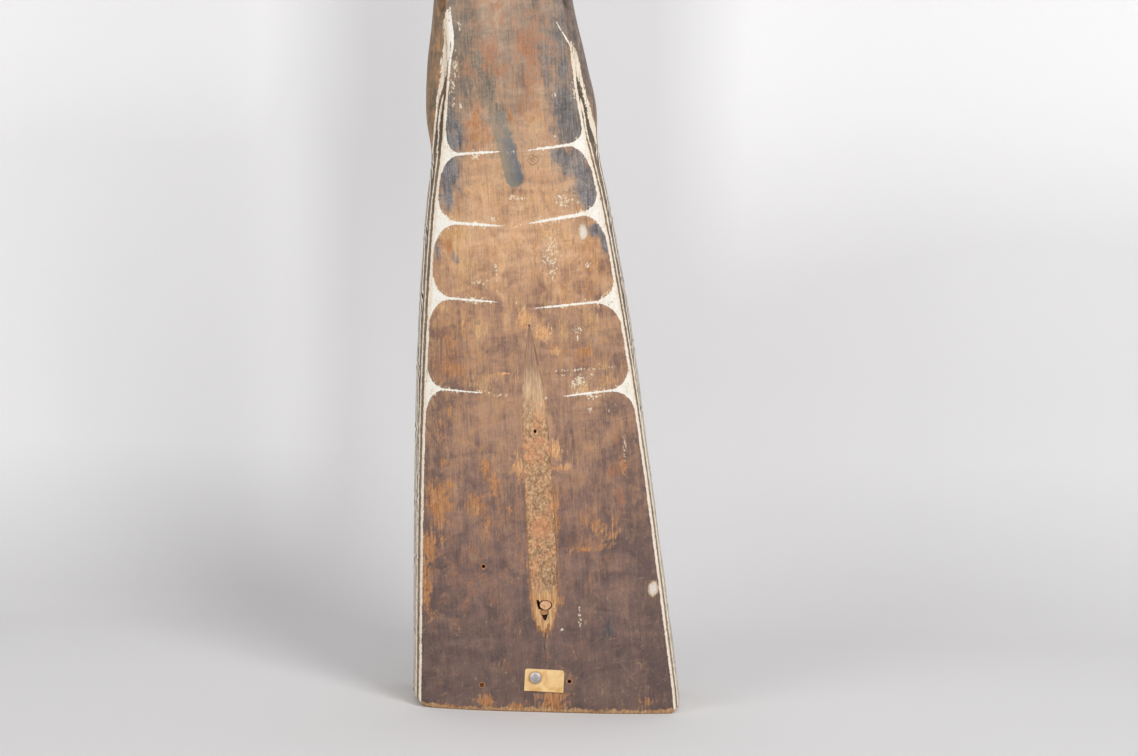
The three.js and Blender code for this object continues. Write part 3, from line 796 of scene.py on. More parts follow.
# Old tropical hardwood, rubbed smooth with a brown stain and painted with lime: matt, its grain open along
# the height, the stain worn to golden wood where hands and ropes rubbed it, the paint chalky and chipped.
wood = new_material("worn stained hardwood with lime paint")
log_mm = log_millimetres(wood)
place = put(wood, "SeparateXYZ", log_mm).outputs
room = put(wood, "SeparateXYZ", put(wood, "TexCoord").outputs["Object"]).outputs
edge_in, band_offset, band_half = field_parts(wood, "lines")
rib_offset, rib_width, on_face = field_parts(wood, "ribs")
worn_spots, light_spots, red_spots = field_parts(wood, "wear")
soot_spots, gold_spots, stroke_mark = field_parts(wood, "marks")
dab_spots, from_groove, from_nail_hole = field_parts(wood, "spots")
outer_offset, outer_half, between_strands = field_parts(wood, "outer_strand")
inner_offset, inner_half, dark_spots = field_parts(wood, "inner_strand")
from_eye, pale_spots, face_in = field_parts(wood, "head")

# Noises, each with its slant in degrees and the size in millimetres of what it stands for, across the
# grain and along it.
noises = {}
for name, slant, across, along, detail, distortion in (
    ("fibre", 0, 1.2, 20, 3, 0.0),        # single fibres and vessels, drawn a little coarse to show
    ("streak", 0, 5, 60, 4, 0.5),         # streaks of the grain
    ("cloud", 0, 22, 32, 5, 0.8),         # slow change of the stain
    ("smear", 0, 48, 15, 5, 1.2),         # wiping across the grain
    ("mottle", 0, 11, 14, 6, 0.7),        # stain rubbed thin in spots
    ("brush", 20, 4.2, 14, 5, 1.6),       # feathery strokes of rubbing
    ("blotch", 0, 5, 7, 6, 0.4),          # ragged rims of worn places
    ("scuff", 0, 2.4, 2.2, 4, 0.4),       # scuffing by sand and feet
    ("fleck", 0, 1.7, 2.4, 2, 0.0),       # chips of paint
    ("grit", 0, 0.9, 0.9, 2, 0.0),        # dust and brush grain in the lime
    ("pore", 0, 0.9, 9, 1, 0.0),          # open pores, longer than the real ones
):
    lined_up = put(
        wood, "Mapping TEXTURE", log_mm, None, (0, math.radians(slant), 0), (across, across, along),
    )
    noises[name] = put(
        wood, "TexNoise",
        named={
            "Vector": lined_up, "Scale": 1.0, "Detail": detail, "Roughness": 0.62, "Distortion": distortion,
        },
    )
# The same noises drawn out to waver about evenly from -1 to 1
waver = {
    name: put(wood, "MapRange", noises[name], 0.3, 0.7, -1, 1)
    for name in ("fibre", "streak", "cloud", "mottle", "brush", "blotch", "scuff", "fleck", "grit")
}

# Stained wood: purple brown at the foot, warmer and thinner upward, grey and rust under the throat
tone = 0.0
for name, share in (("fibre", 0.14), ("streak", 0.16), ("cloud", 0.36), ("smear", 0.34)):
    tone = put(wood, "Math MULTIPLY_ADD", noises[name], share, tone)
tone = put(wood, "MapRange", tone, 0.41, 0.59, 0, 1, clamp=False)
# Painted shade: the wood is drawn darker towards the edges of the face
painted_edge_shade = put(wood, "MapRange SMOOTHSTEP", edge_in, 0, 34, -0.25, 0.04)
tone = put(wood, "Math", tone, painted_edge_shade)
tone = put(wood, "Math MULTIPLY_ADD", light_spots, 0.4, tone)
tone = put(wood, "Math MULTIPLY_ADD", dark_spots, -0.5, tone)
tone = put(wood, "Clamp", tone)
wavy_height = put(wood, "Math MULTIPLY_ADD", waver["cloud"], 40, place["Z"])
level = put(wood, "MapRange", wavy_height, 0, 640)
dark_stain = put(
    wood, "ValToRGB", level,
    stops=(
        (0.0, "#5e4d4a"), (0.16, "#67544f"), (0.28, "#745c55"), (0.4, "#7f6459"), (0.53, "#8a6959"),
        (0.66, "#a2785c"), (0.78, "#877465"), (0.9, "#7b6f64"), (1.0, "#7d7166"),
    ),
)
light_stain = put(
    wood, "ValToRGB", level,
    stops=(
        (0.0, "#7e675e"), (0.16, "#8c7066"), (0.28, "#a07e6e"), (0.4, "#bb9277"), (0.53, "#c69b7b"),
        (0.66, "#e2b790"), (0.78, "#cea887"), (0.9, "#bca089"), (1.0, "#c8ac93"),
    ),
)
stained = put(wood, "MixRGB", tone, dark_stain, light_stain)
thin_colour = put(
    wood, "ValToRGB", level,
    stops=(
        (0.0, "#8c6a58"), (0.28, "#b38a6a"), (0.5, "#c99b6f"), (0.66, "#e0ad7c"), (0.8, "#c7946f"),
        (1.0, "#bd8f70"),
    ),
)
thin_most = put(wood, "MapRange", level, 0.1, 0.4, 0.25, 0.7)
thin = 0.0
for name, share in (("mottle", 0.5), ("streak", 0.2), ("brush", 0.15), ("fibre", 0.15)):
    thin = put(wood, "Math MULTIPLY_ADD", noises[name], share, thin)
thin = put(wood, "MapRange", thin, 0.47, 0.58)
thin = put(wood, "Math MULTIPLY", thin, thin_most)
thinned = put(wood, "MixRGB", thin, stained, thin_colour)
red_field = put(wood, "Math MULTIPLY_ADD", waver["mottle"], 0.45, red_spots)
red_field = put(wood, "Math MULTIPLY_ADD", waver["brush"], 0.25, red_field)
red_cover = put(wood, "MapRange", red_field, 0.2, 1.1, 0, 0.6)
reddened = put(wood, "MixRGB", red_cover, thinned, linear("#b0724e"))

# Places worn through the stain to golden wood, old yellowed varnish, and small rubs in the lower half
raggedness = 0.0
for name, share in (("blotch", 0.45), ("brush", 0.28), ("mottle", 0.22), ("scuff", 0.12), ("fibre", 0.12)):
    raggedness = put(wood, "Math MULTIPLY_ADD", waver[name], share, raggedness)
worn = put(wood, "Math", worn_spots, raggedness)
worn = put(wood, "MapRange SMOOTHSTEP", worn, 0.25, 0.95, 0, 0.9)
rubs = put(wood, "Math", noises["blotch"], put(wood, "Math MULTIPLY", noises["smear"], 0.4))
rubs = put(wood, "Math MULTIPLY_ADD", noises["brush"], 0.5, rubs)
rubs = put(wood, "MapRange", rubs, 1.09, 1.25, 0, 0.42)
worn = put(wood, "Math MAXIMUM", worn, rubs)
worn_grain = put(wood, "MixRGB", 0.5, noises["brush"], noises["fibre"])
worn_colour = put(
    wood, "ValToRGB", worn_grain, stops=((0.36, "#99643a"), (0.5, "#bc8251"), (0.64, "#d7a16e")),
)
# Beside the upper half of the groove the rubbed wood is fresh and lighter
fresh = put(wood, "MapRange", from_groove, 18, 30, 0.85, 0)
fresh = put(wood, "Math MULTIPLY", fresh, put(wood, "MapRange", place["Z"], 185, 215))
fresh_colour = put(
    wood, "ValToRGB", worn_grain, stops=((0.36, "#c9915f"), (0.5, "#e6af7b"), (0.64, "#facf9d")),
)
worn_colour = put(wood, "MixRGB", fresh, worn_colour, fresh_colour)
rubbed_wood = put(wood, "MixRGB", worn, reddened, worn_colour)
gold = put(wood, "Math MULTIPLY_ADD", raggedness, 0.75, gold_spots)
gold = put(wood, "MapRange SMOOTHSTEP", gold, 0.2, 1.1, 0, 0.75)
gold = put(wood, "Math MULTIPLY", gold, on_face)
gold_colour = put(
    wood, "ValToRGB", worn_grain, stops=((0.36, "#be905c"), (0.5, "#d8a873"), (0.64, "#efc896")),
)
gilded = put(wood, "MixRGB", gold, rubbed_wood, gold_colour)

# Scratches in three directions, a millimetre wide and a few centimetres long
scratched = gilded
for turn, width, length, sought in ((62, 0.8, 34, 0.69), (-38, 0.8, 44, 0.71), (84, 0.9, 30, 0.7)):
    lined_up = put(
        wood, "Mapping TEXTURE", log_mm, None, (0, math.radians(turn), 0), (width, width * 3, length),
    )
    scratch = put(wood, "TexNoise", named={"Vector": lined_up, "Scale": 1.0, "Detail": 1.0})
    shown = put(wood, "MapRange", scratch, sought, sought + 0.07, 0, 0.35)
    shown = put(wood, "Math MULTIPLY", shown, on_face)
    scratched = put(wood, "MixRGB", shown, scratched, linear("#cba17c"))

# Soot and old blue-black paint near the borders, and one long dark stroke down the middle
soot_field = put(wood, "Math MULTIPLY_ADD", waver["blotch"], 0.25, soot_spots)
soot_field = put(wood, "Math MULTIPLY_ADD", waver["streak"], 0.35, soot_field)
soot = put(wood, "MapRange SMOOTHSTEP", soot_field, 0.15, 0.85, 0, 0.86)
soot_grain = 0.0
for name, share in (("cloud", 0.4), ("fibre", 0.35), ("scuff", 0.25)):
    soot_grain = put(wood, "Math MULTIPLY_ADD", noises[name], share, soot_grain)
soot_blue = put(wood, "ValToRGB", soot_grain, stops=((0.4, "#3e4750"), (0.5, "#6e7279"), (0.6, "#9a9693")))
soot_brown = put(wood, "ValToRGB", soot_grain, stops=((0.4, "#5f5a50"), (0.5, "#857a6c"), (0.6, "#a69681")))
soot_side = put(wood, "Math MULTIPLY_ADD", place["X"], 0.6, place["Z"])
soot_side = put(wood, "Math MULTIPLY_ADD", waver["mottle"], 20, soot_side)
soot_side = put(wood, "MapRange", soot_side, 465, 505)
soot_side = put(wood, "Math MULTIPLY", soot_side, put(wood, "MapRange", place["X"], 5, 20, 1, 0.35))
soot_colour = put(wood, "MixRGB", soot_side, soot_blue, soot_brown)
soot_low = put(wood, "MapRange", place["Z"], 150, 300, 0.7, 0)
soot_colour = put(wood, "MixRGB", soot_low, soot_colour, linear("#3d3f45"))
sooted = put(wood, "MixRGB", soot, scratched, soot_colour)
stroke_field = put(wood, "Math MULTIPLY_ADD", raggedness, 0.62, stroke_mark)
stroke = put(wood, "MapRange SMOOTHSTEP", stroke_field, 0.1, 0.6, 0, 0.85)
stroke_side = put(wood, "Math MULTIPLY_ADD", place["Z"], 0.21, place["X"])
stroke_side = put(wood, "Math MULTIPLY_ADD", waver["mottle"], 6, stroke_side)
stroke_side = put(wood, "Math MULTIPLY_ADD", waver["streak"], 3, stroke_side)
stroke_side = put(wood, "MapRange", stroke_side, 91, 99)
stroke_height = put(wood, "MapRange", place["Z"], 448, 510)
stroke_blue = put(
    wood, "ValToRGB", stroke_height, stops=((0.0, "#4a5b68"), (0.35, "#5f6f7c"), (1.0, "#878681")),
)
stroke_olive = put(
    wood, "ValToRGB", stroke_height, stops=((0.0, "#737874"), (0.35, "#928a78"), (1.0, "#a3917d")),
)
stroked = put(wood, "MixRGB", stroke, sooted, put(wood, "MixRGB", stroke_side, stroke_olive, stroke_blue))

# A knot above the second rib, a crack under the groove, the groove's broken rim and the holes' chipped rims
from_knot = put(wood, "VectorMath DISTANCE", log_mm, (15.4, FACE_Y, 471.5)).outputs["Value"]
knot_wave = put(wood, "Math MULTIPLY_ADD", waver["blotch"], 1.6, from_knot)
knot_ring = put(wood, "Math PINGPONG", knot_wave, 1.3)
knot_near = put(wood, "MapRange", from_knot, 4.4, 6.0, 0.6, 0)
knot = put(wood, "Math MULTIPLY", knot_near, put(wood, "MapRange", knot_ring, 0.5, 1.1))
knotted = put(wood, "MixRGB", knot, stroked, linear("#86603f"))
from_crack = put(wood, "Math MULTIPLY_ADD", waver["cloud"], 3, place["X"])
from_crack = put(wood, "Math ABSOLUTE", put(wood, "Math SUBTRACT", from_crack, 1.6))
crack = put(wood, "MapRange", from_crack, 0.25, 0.7, 0.75, 0)
for gate in (
    put(wood, "MapRange", place["Z"], 34, 44), put(wood, "MapRange", place["Z"], 62, 66, 1, 0), on_face,
):
    crack = put(wood, "Math MULTIPLY", crack, gate)
cracked = put(wood, "MixRGB", crack, knotted, linear("#45352d"))
rim_place = put(wood, "Math MULTIPLY_ADD", waver["blotch"], 1.5, from_groove)
rim_wood = put(wood, "MapRange SMOOTHSTEP", rim_place, 0.6, 2.4, 0.8, 0)
rim_low = put(wood, "Math MULTIPLY_ADD", waver["mottle"], 60, place["Z"])
rim_low = put(wood, "MapRange", rim_low, 100, 140, 1, 0.12)
for gate in (rim_low, put(wood, "MapRange", place["Z"], 64, 69)):
    rim_wood = put(wood, "Math MULTIPLY", rim_wood, gate)
hole_place = put(wood, "Math MULTIPLY_ADD", waver["fleck"], 0.7, from_nail_hole)
hole_wood = put(wood, "MapRange", hole_place, 2.2, 3.0, 0.85, 0)
rim_wood = put(wood, "Math MAXIMUM", rim_wood, hole_wood)
rimmed = put(wood, "MixRGB", rim_wood, cracked, worn_colour)
in_groove = put(wood, "MapRange", from_groove, 0.15, 0.5, 0.4, 0)
grooved = put(wood, "MixRGB", in_groove, rimmed, linear("#94704f"))

# Flanks: a brown strip behind the face's edge, then two files of nested pointed arches, carved and rubbed
# with lime, then plain wood. The cheeks are bare, rust brown on the left and grey brown on the right.
ARCH_START = 14
ARCH_WIDTH = 26
ARCH_FILES = 2
ARCH_PITCH = 57
ARCH_LINES = 2
LEFT_ARCH_TIP = 421
RIGHT_ARCH_TIP = 428
on_right = put(wood, "MapRange", place["X"], -5, 5)
deck_grain = put(wood, "MixRGB", 0.35, noises["streak"], noises["fibre"])
deck_grain = put(wood, "MapRange", deck_grain, 0.4, 0.6)
deck_wood = put(wood, "MixRGB", deck_grain, linear("#644b3a"), linear("#977457"))
deck_wood = put(
    wood, "MixRGB", put(wood, "MapRange", noises["cloud"], 0.4, 0.62, 0, 0.7), deck_wood, linear("#7b6352"),
)
cheek_tone = put(wood, "MixRGB", 0.4, noises["mottle"], noises["streak"])
cheek_tone = put(wood, "MapRange", put(wood, "MixRGB", 0.3, cheek_tone, noises["brush"]), 0.42, 0.58)
left_cheek = put(wood, "ValToRGB", cheek_tone, stops=((0.0, "#6f6251"), (0.5, "#937a60"), (1.0, "#bc8c64")))
right_cheek = put(
    wood, "ValToRGB", cheek_tone, stops=((0.0, "#675b55"), (0.5, "#807067"), (1.0, "#9c8878")),
)
cheek_low = put(wood, "MapRange", place["Z"], 500, 530)
right_cheek = put(wood, "MixRGB", cheek_low, left_cheek, right_cheek)
cheeks = put(wood, "MixRGB", on_right, left_cheek, right_cheek)
cheeks = put(wood, "MixRGB", put(wood, "MapRange", place["Z"], 610, 680), cheeks, deck_wood)
high_flank = put(wood, "MapRange", place["Z"], 470, 492)
plain_flank = put(wood, "MixRGB", high_flank, deck_wood, cheeks)
throat_dark = put(wood, "Math MULTIPLY", between_strands, 0.85)
plain_flank = put(wood, "MixRGB", throat_dark, plain_flank, linear("#574a3d"))
sides = put(wood, "MixRGB", on_face, plain_flank, grooved)
behind = put(wood, "Math MULTIPLY", edge_in, -1)
in_file = put(wood, "Math MULTIPLY_ADD", waver["mottle"], 0.9, behind)
in_file = put(wood, "Math SUBTRACT", in_file, ARCH_START)
arch_side = put(wood, "Math PINGPONG", in_file, ARCH_WIDTH / 2)
arch_side = put(wood, "MapRange", arch_side, 0, ARCH_WIDTH / 2, 1, 0)
file_number = put(wood, "Math FLOOR", put(wood, "Math DIVIDE", in_file, ARCH_WIDTH))
arch_tip = put(wood, "MapRange", on_right, 0, 1, LEFT_ARCH_TIP, RIGHT_ARCH_TIP)
under_tip = put(wood, "Math SUBTRACT", arch_tip, place["Z"])
under_tip = put(wood, "Math MULTIPLY_ADD", waver["cloud"], 4, under_tip)
under_tip = put(wood, "Math MULTIPLY_ADD", file_number, ARCH_PITCH / 2, under_tip)
under_tip = put(wood, "Math FRACT", put(wood, "Math DIVIDE", under_tip, ARCH_PITCH))
closing = put(wood, "MapRange", under_tip, 0, 0.45, 1, 0)
arch = put(wood, "Math MULTIPLY_ADD", closing, closing, arch_side)
arch = put(wood, "Math MULTIPLY", arch, ARCH_LINES)
arch = put(wood, "Math MULTIPLY_ADD", waver["blotch"], 0.05, arch)
ridge = put(wood, "Math PINGPONG", arch, 0.5)
file_end = ARCH_START + ARCH_WIDTH * ARCH_FILES
below_throat = put(wood, "MapRange", place["Z"], 476, 490, 1, 0)
carved = put(wood, "MapRange", behind, file_end, file_end + 1.5, 1, 0)
for gate in (put(wood, "MapRange", behind, ARCH_START - 0.6, ARCH_START), below_throat):
    carved = put(wood, "Math MULTIPLY", carved, gate)
ridge_paint = put(wood, "MapRange", ridge, 0.17, 0.25)
ridge_worn = put(wood, "Math", noises["fleck"], noises["blotch"])
ridge_worn = put(wood, "MapRange", ridge_worn, 0.7, 0.88, 0.65, 1)
ridge_paint = put(wood, "Math MULTIPLY", ridge_paint, ridge_worn)
arches = put(wood, "MixRGB", ridge_paint, linear("#33271f"), linear("#f8ecd9"))
friezed = put(wood, "MixRGB", carved, sides, arches)
gap = put(wood, "MapRange", behind, 0.0, 0.4)
for gate in (put(wood, "MapRange", behind, ARCH_START - 0.6, ARCH_START, 1, 0), below_throat):
    gap = put(wood, "Math MULTIPLY", gap, gate)
gap_wood = put(wood, "MixRGB", cheek_tone, linear("#66503f"), linear("#a08365"))
friezed = put(wood, "MixRGB", gap, friezed, gap_wood)

# Lime paint: the border at the edge of the face, the line behind it, the ribs, the band and the two
# strands beside the throat and the rings of the eyes. Each is a stripe with a half width and an offset.
near_edge = put(wood, "MapRange", behind, 22, 26, 0, -9)
border_middle = put(wood, "MapRange", on_right, 0, 1, 0.35, 0.75)
border_offset = put(wood, "Math SUBTRACT", face_in, border_middle)
border_less = put(wood, "Math", near_edge, put(wood, "MapRange", place["Z"], 525, 545, 0, -6))
line_middle = put(wood, "MapRange", on_right, 0, 1, -3.9, -2.6)
line_offset = put(wood, "Math SUBTRACT", face_in, line_middle)
line_less = put(wood, "Math", near_edge, put(wood, "MapRange", place["Z"], 484, 492, 0, -9))
worn_away = put(wood, "Math MULTIPLY_ADD", on_right, 36, place["Z"])
worn_away = put(wood, "MapRange", worn_away, 536, 550)
worn_away = put(wood, "Math MULTIPLY", worn_away, put(wood, "MapRange", on_right, 0, 1, -1.5, -1.2))
worn_away = put(wood, "Math MULTIPLY", worn_away, put(wood, "MapRange", noises["brush"], 0.42, 0.56))
strand_less = put(wood, "Math", near_edge, worn_away)
painted = -9.0
for half_width, offset, less in (
    (1.15, border_offset, border_less), (0.6, line_offset, line_less),
    (rib_width, rib_offset, 0.0),
    (band_half, band_offset, near_edge),
    (outer_half, outer_offset, strand_less),
    (inner_half, inner_offset, near_edge),
    (1.3, put(wood, "Math SUBTRACT", from_eye, 15), 0.0),
):
    offset = put(wood, "Math ABSOLUTE", offset)
    stripe = put(wood, "Math", put(wood, "Math SUBTRACT", half_width, offset), less)
    painted = put(wood, "Math MAXIMUM", painted, stripe)
ragged_paint = put(wood, "Math MULTIPLY_ADD", waver["fleck"], 0.35, painted)
ragged_paint = put(wood, "Math MULTIPLY_ADD", waver["blotch"], 0.3, ragged_paint)
lime = put(wood, "MapRange SMOOTHSTEP", ragged_paint, -0.25, 0.25)
chips = put(wood, "MapRange SMOOTHSTEP", put(wood, "Math", noises["blotch"], noises["fleck"]), 0.66, 0.78)
lime = put(wood, "Math MULTIPLY", lime, chips)
chalk = put(wood, "Math MULTIPLY_ADD", noises["blotch"], 0.7, noises["grit"])
lime_colour = put(
    wood, "ValToRGB", chalk,
    stops=((0.58, "#d6c0a0"), (0.72, "#f3e8d4"), (0.84, "#fcf6ea"), (1.0, "#fffcf4")),
)
smoked = put(wood, "MapRange", face_in, 1.8, 2.6, 0.5, 0)
lime_colour = put(wood, "MixRGB", smoked, lime_colour, linear("#ffe9cb"))
# Out on the cheeks the lime is rubbed down to the wood along the grain
rubbed_lime = put(wood, "MapRange", face_in, -1.0, 1.0, 0.8, 0)
for gate in (put(wood, "MapRange", noises["fibre"], 0.5, 0.6), cheek_low):
    rubbed_lime = put(wood, "Math MULTIPLY", rubbed_lime, gate)
lime_colour = put(wood, "MixRGB", rubbed_lime, lime_colour, linear("#b59a78"))
splash = put(wood, "Math ABSOLUTE", rib_offset)
splash = put(wood, "Math SUBTRACT", splash, rib_width)
splash = put(wood, "MapRange", splash, 0, 5, 0.95, 0)
splash = put(wood, "Math MULTIPLY", splash, put(wood, "MapRange", noises["mottle"], 0.46, 0.58))
pale_field = put(wood, "Math MAXIMUM", pale_spots, splash)
pale_gate = put(wood, "MapRange", pale_field, 0.12, 0.4)
pale_field = put(wood, "Math MULTIPLY_ADD", waver["fleck"], 0.8, pale_field)
pale_field = put(wood, "Math MULTIPLY_ADD", waver["blotch"], 0.3, pale_field)
pale = put(wood, "MapRange SMOOTHSTEP", pale_field, 0.72, 1.12, 0, 0.85)
for gate in (pale_gate, on_face):
    pale = put(wood, "Math MULTIPLY", pale, gate)
flecked = put(wood, "MixRGB", pale, friezed, linear("#f0e0c4"))
limed = put(wood, "MixRGB", lime, flecked, lime_colour)
dab_rim = put(wood, "Math MULTIPLY_ADD", waver["blotch"], 0.16, dab_spots)
dab = put(wood, "MapRange SMOOTHSTEP", dab_rim, 0.26, 0.6, 0, 0.92)
dab_colour = put(wood, "ValToRGB", dab_rim, stops=((0.3, "#a98460"), (0.55, "#dcc5a6"), (0.8, "#ece2d6")))
dabbed = put(wood, "MixRGB", dab, limed, dab_colour)

# Bare wood along the sawn edge, where the butt has been dragged and set down, a painted contact shadow along
# the floor, and end grain under it
above_floor = put(wood, "Math MULTIPLY", room["Z"], 1000)
saw_edge = put(wood, "Math MULTIPLY_ADD", waver["blotch"], 1.6, above_floor)
saw_edge = put(wood, "Math MULTIPLY_ADD", waver["cloud"], 2.2, saw_edge)
saw_bare = put(wood, "MapRange SMOOTHSTEP", saw_edge, 3.0, 4.6, 0.92, 0)
bare_colour = put(
    wood, "ValToRGB", worn_grain, stops=((0.38, "#a77c53"), (0.5, "#c1966b"), (0.62, "#d8b286")),
)
sawn = put(wood, "MixRGB", saw_bare, dabbed, bare_colour)
# Painted contact shadow: the lowest millimetre of wood is drawn dark where the butt meets the floor
contact_shadow = put(wood, "MapRange", above_floor, 0.3, 1.1, 0.75, 0)
sawn = put(wood, "MixRGB", contact_shadow, sawn, linear("#5d452f"))
from_pith = put(wood, "VectorMath DISTANCE", log_mm, (4, -52, 0)).outputs["Value"]
ring_place = put(wood, "Math", from_pith, put(wood, "Math", waver["cloud"], waver["blotch"]))
rings = put(wood, "Math PINGPONG", ring_place, 2.2)
ring_wood = put(
    wood, "MixRGB", put(wood, "MapRange", rings, 0.3, 2.2), linear("#8c6242"), linear("#bd9068"),
)
facing = put(wood, "SeparateXYZ", put(wood, "NewGeometry").outputs["Normal"]).outputs["Z"]
underside = put(wood, "MapRange", facing, -0.95, -0.85, 1, 0)
whole = put(wood, "MixRGB", underside, sawn, ring_wood)

# Grime and pores darken the wood in fine specks; relief in parts of a millimetre from the same noises
bare_of_lime = put(wood, "MapRange", lime, 0, 1, 1, 0.25)
speckle = put(
    wood, "Math MULTIPLY_ADD", waver["grit"], 0.1, put(wood, "Math MULTIPLY", waver["scuff"], 0.07),
)
speckle = put(wood, "Math MULTIPLY_ADD", waver["fibre"], 0.04, speckle)
speckle = put(wood, "Math MULTIPLY_ADD", speckle, bare_of_lime, 1.0)
speckled = put(wood, "MixRGB MULTIPLY", 1.0, whole, speckle)
pore_dark = put(
    wood, "Math MULTIPLY", put(wood, "MapRange", noises["pore"], 0.64, 0.74, 0, 0.3), bare_of_lime,
)
pored = put(wood, "MixRGB", pore_dark, speckled, linear("#4c3a31"))
relief = put(wood, "Math MULTIPLY", ridge, carved)
relief = put(wood, "Math MULTIPLY", relief, 2.0)
for value, share in (
    (noises["fibre"], 0.8), (noises["scuff"], 0.7), (pore_dark, -1.5), (lime, 0.4), (crack, -1.2),
):
    relief = put(wood, "Math MULTIPLY_ADD", value, share, relief)
bump = put(wood, "Bump", named={"Strength": 0.5, "Distance": 0.5 * MM, "Height": relief})
roughness = put(wood, "MapRange", tone, 0, 1, 0.62, 0.78)
roughness = put(wood, "Math MULTIPLY_ADD", lime, 0.18, roughness)
shader = put(wood, "BsdfPrincipled", named={
    "Base Color": pored, "Roughness": roughness, "Specular IOR Level": 0.35, "Normal": bump,
})
put(wood, "OutputMaterial", shader)
prow.data.materials.clear()
prow.data.materials.append(wood)
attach(prow, "prow")
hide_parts("prow_timber")

# Filling of the groove: the log's own heart, rotted where it grew, crumbling in grains of brown wood. It
# lies almost flush with the face, tight in its groove, and a worm has bored into it.
FILLING_FRONT_COLUMNS = 22
FILLING_SIDE_COLUMNS = 3
FILLING_ROWS = 204
FILLING_SINK_LOW = 0.55
FILLING_SINK_HIGH = 0.2
FILLING_LEAST_SINK = 0.1
FILLING_GRAIN = 0.34
FILLING_BACK = FACE_Y + 5.7
# Heights where the filling comes up towards the face, where its crumbs begin and where they smooth out
FILLING_RISE = (200, 270)
CRUMBS_START = (HEART_FOOT + 20, HEART_FOOT + 36)
CRUMBS_FADE = (240, 310)
CRUMBS_LEFT_ABOVE = 0.35
FILLING_TIGHT = 0.08
WORM_HOLE = (3.6, 239.0, 1.2, 1.8)
# The wood is torn out under the plug, thinly at first and deeper at the low end of the tear
LOW_TEAR = (
    (-1.4, 83.2), (0.5, 84.2), (5.8, 84.0), (6.5, 81.6), (5.2, 78.6), (3.4, 74.8), (2.2, 74.2),
    (0.8, 77.2), (-1.0, 80.4),
)
LOW_TEAR_DEEP = ((0.0, 79.4), (5.2, 79.6), (3.8, 75.2), (2.3, 74.5), (1.0, 76.4))
LEFT_TEAR = ((-3.8, 92.6), (-2.0, 93.1), (-0.8, 90), (-0.8, 85.2), (-2.2, 84.2), (-3.2, 87.5))
FOOT_CHIPS = (
    ((-4.2, 65), (-4.2, 70.2), (-1.6, 70.6), (-1.2, 65)),
    ((5.8, 65), (6.4, 72), (4.4, 71.2), (3.9, 68), (2.4, 67.4), (2.4, 65)),
)


def filling_point(column, row):
    height = mix(HEART_FOOT, HEART_TOP - 1, row / FILLING_ROWS)
    front_end = FILLING_FRONT_COLUMNS
    right_end = front_end + FILLING_SIDE_COLUMNS
    back_end = right_end + FILLING_FRONT_COLUMNS
    share = min(1, max(-1, 2 * column / FILLING_FRONT_COLUMNS - 1))
    depth = 0
    if column > front_end:
        depth = min(1, (column - front_end) / FILLING_SIDE_COLUMNS)
    if column > right_end:
        share = max(-1, 1 - 2 * (column - right_end) / FILLING_FRONT_COLUMNS)
    if column > back_end:
        depth = 1 - (column - back_end) / FILLING_SIDE_COLUMNS
    x = heart_middle(height) + share * (heart_half(height, math.copysign(1, share)) + FILLING_TIGHT)
    grains = waves(x / 1.5, height / 2.3, 3.0) + 0.9 * waves(x / 4.5, height / 9, 7.0)
    crumbly = ease(*CRUMBS_START, height) * mix(1, CRUMBS_LEFT_ABOVE, ease(*CRUMBS_FADE, height))
    sink = mix(FILLING_SINK_LOW, FILLING_SINK_HIGH, ease(*FILLING_RISE, height))
    front = FACE_Y + sink + FILLING_GRAIN * grains * crumbly
    y = mix(max(front, FACE_Y + FILLING_LEAST_SINK), FILLING_BACK, depth)
    return log_to_room @ (Vector((x, y, height)) * MM)


columns = 2 * (FILLING_FRONT_COLUMNS + FILLING_SIDE_COLUMNS)
filling = wrapped_skin(columns, FILLING_ROWS, filling_point)
filling = finish_piece("rotten_heart", filling)
carve(filling, [
    bore(plug_hole, 12), bore(LOW_TEAR, 1.9), bore(LOW_TEAR_DEEP, 4.2), bore(LEFT_TEAR, 4.8),
    *(bore(chip, 1.5) for chip in FOOT_CHIPS), bore(oval(*WORM_HOLE), 5),
])
filling.data.set_sharp_from_angle(angle=math.radians(50))
x, y, z = log_places(filling)
from_middle, groove_half = across_groove(x, z)
field_on(filling, "rim", groove_half - np.abs(from_middle), y - FACE_Y, from_middle)

# Rotten wood: quite matt, loose grains one to three millimetres across in tan, brown and pink, grey in
# its lower part, fading into the face at its top, and clean split wood around the plug.
rotten = new_material("crumbling rotten heartwood")
log_mm = log_millimetres(rotten)
place = put(rotten, "SeparateXYZ", log_mm).outputs
from_rim, sunk_in, from_middle = field_parts(rotten, "rim")
noises = {}
for name, across, along, detail in (
    ("grain", 1.9, 2.5, 4), ("lump", 5, 8, 3), ("patch", 18, 26, 2), ("fibre", 1.2, 16, 3),
    ("cleft", 7, 34, 3),
):
    stretched = put(rotten, "Mapping TEXTURE", log_mm, None, None, (across, across, along))
    noises[name] = put(
        rotten, "TexNoise", named={"Vector": stretched, "Scale": 1.0, "Detail": detail, "Roughness": 0.68},
    )
grainy = put(rotten, "ValToRGB", noises["grain"], stops=(
    (0.37, "#83664e"), (0.46, "#b38c69"), (0.54, "#cfa680"), (0.62, "#f2d2aa"),
))
grey_grains = put(rotten, "ValToRGB", noises["grain"], stops=(
    (0.37, "#655746"), (0.46, "#917e67"), (0.54, "#b39a7c"), (0.62, "#dfc39d"),
))
greyness = put(rotten, "MapRange", place["Z"], 96, 140, 0.75, 0.15)
greyness = put(rotten, "Math MULTIPLY", greyness, put(rotten, "MapRange", noises["lump"], 0.42, 0.56))
grainy = put(rotten, "MixRGB", greyness, grainy, grey_grains)
tint = put(
    rotten, "ValToRGB", noises["patch"], stops=((0.36, "#a98a6a"), (0.5, "#c0946c"), (0.62, "#cf9c74")),
)
tinted = put(rotten, "MixRGB", 0.35, grainy, tint)
peach = put(rotten, "Math", noises["lump"], noises["patch"])
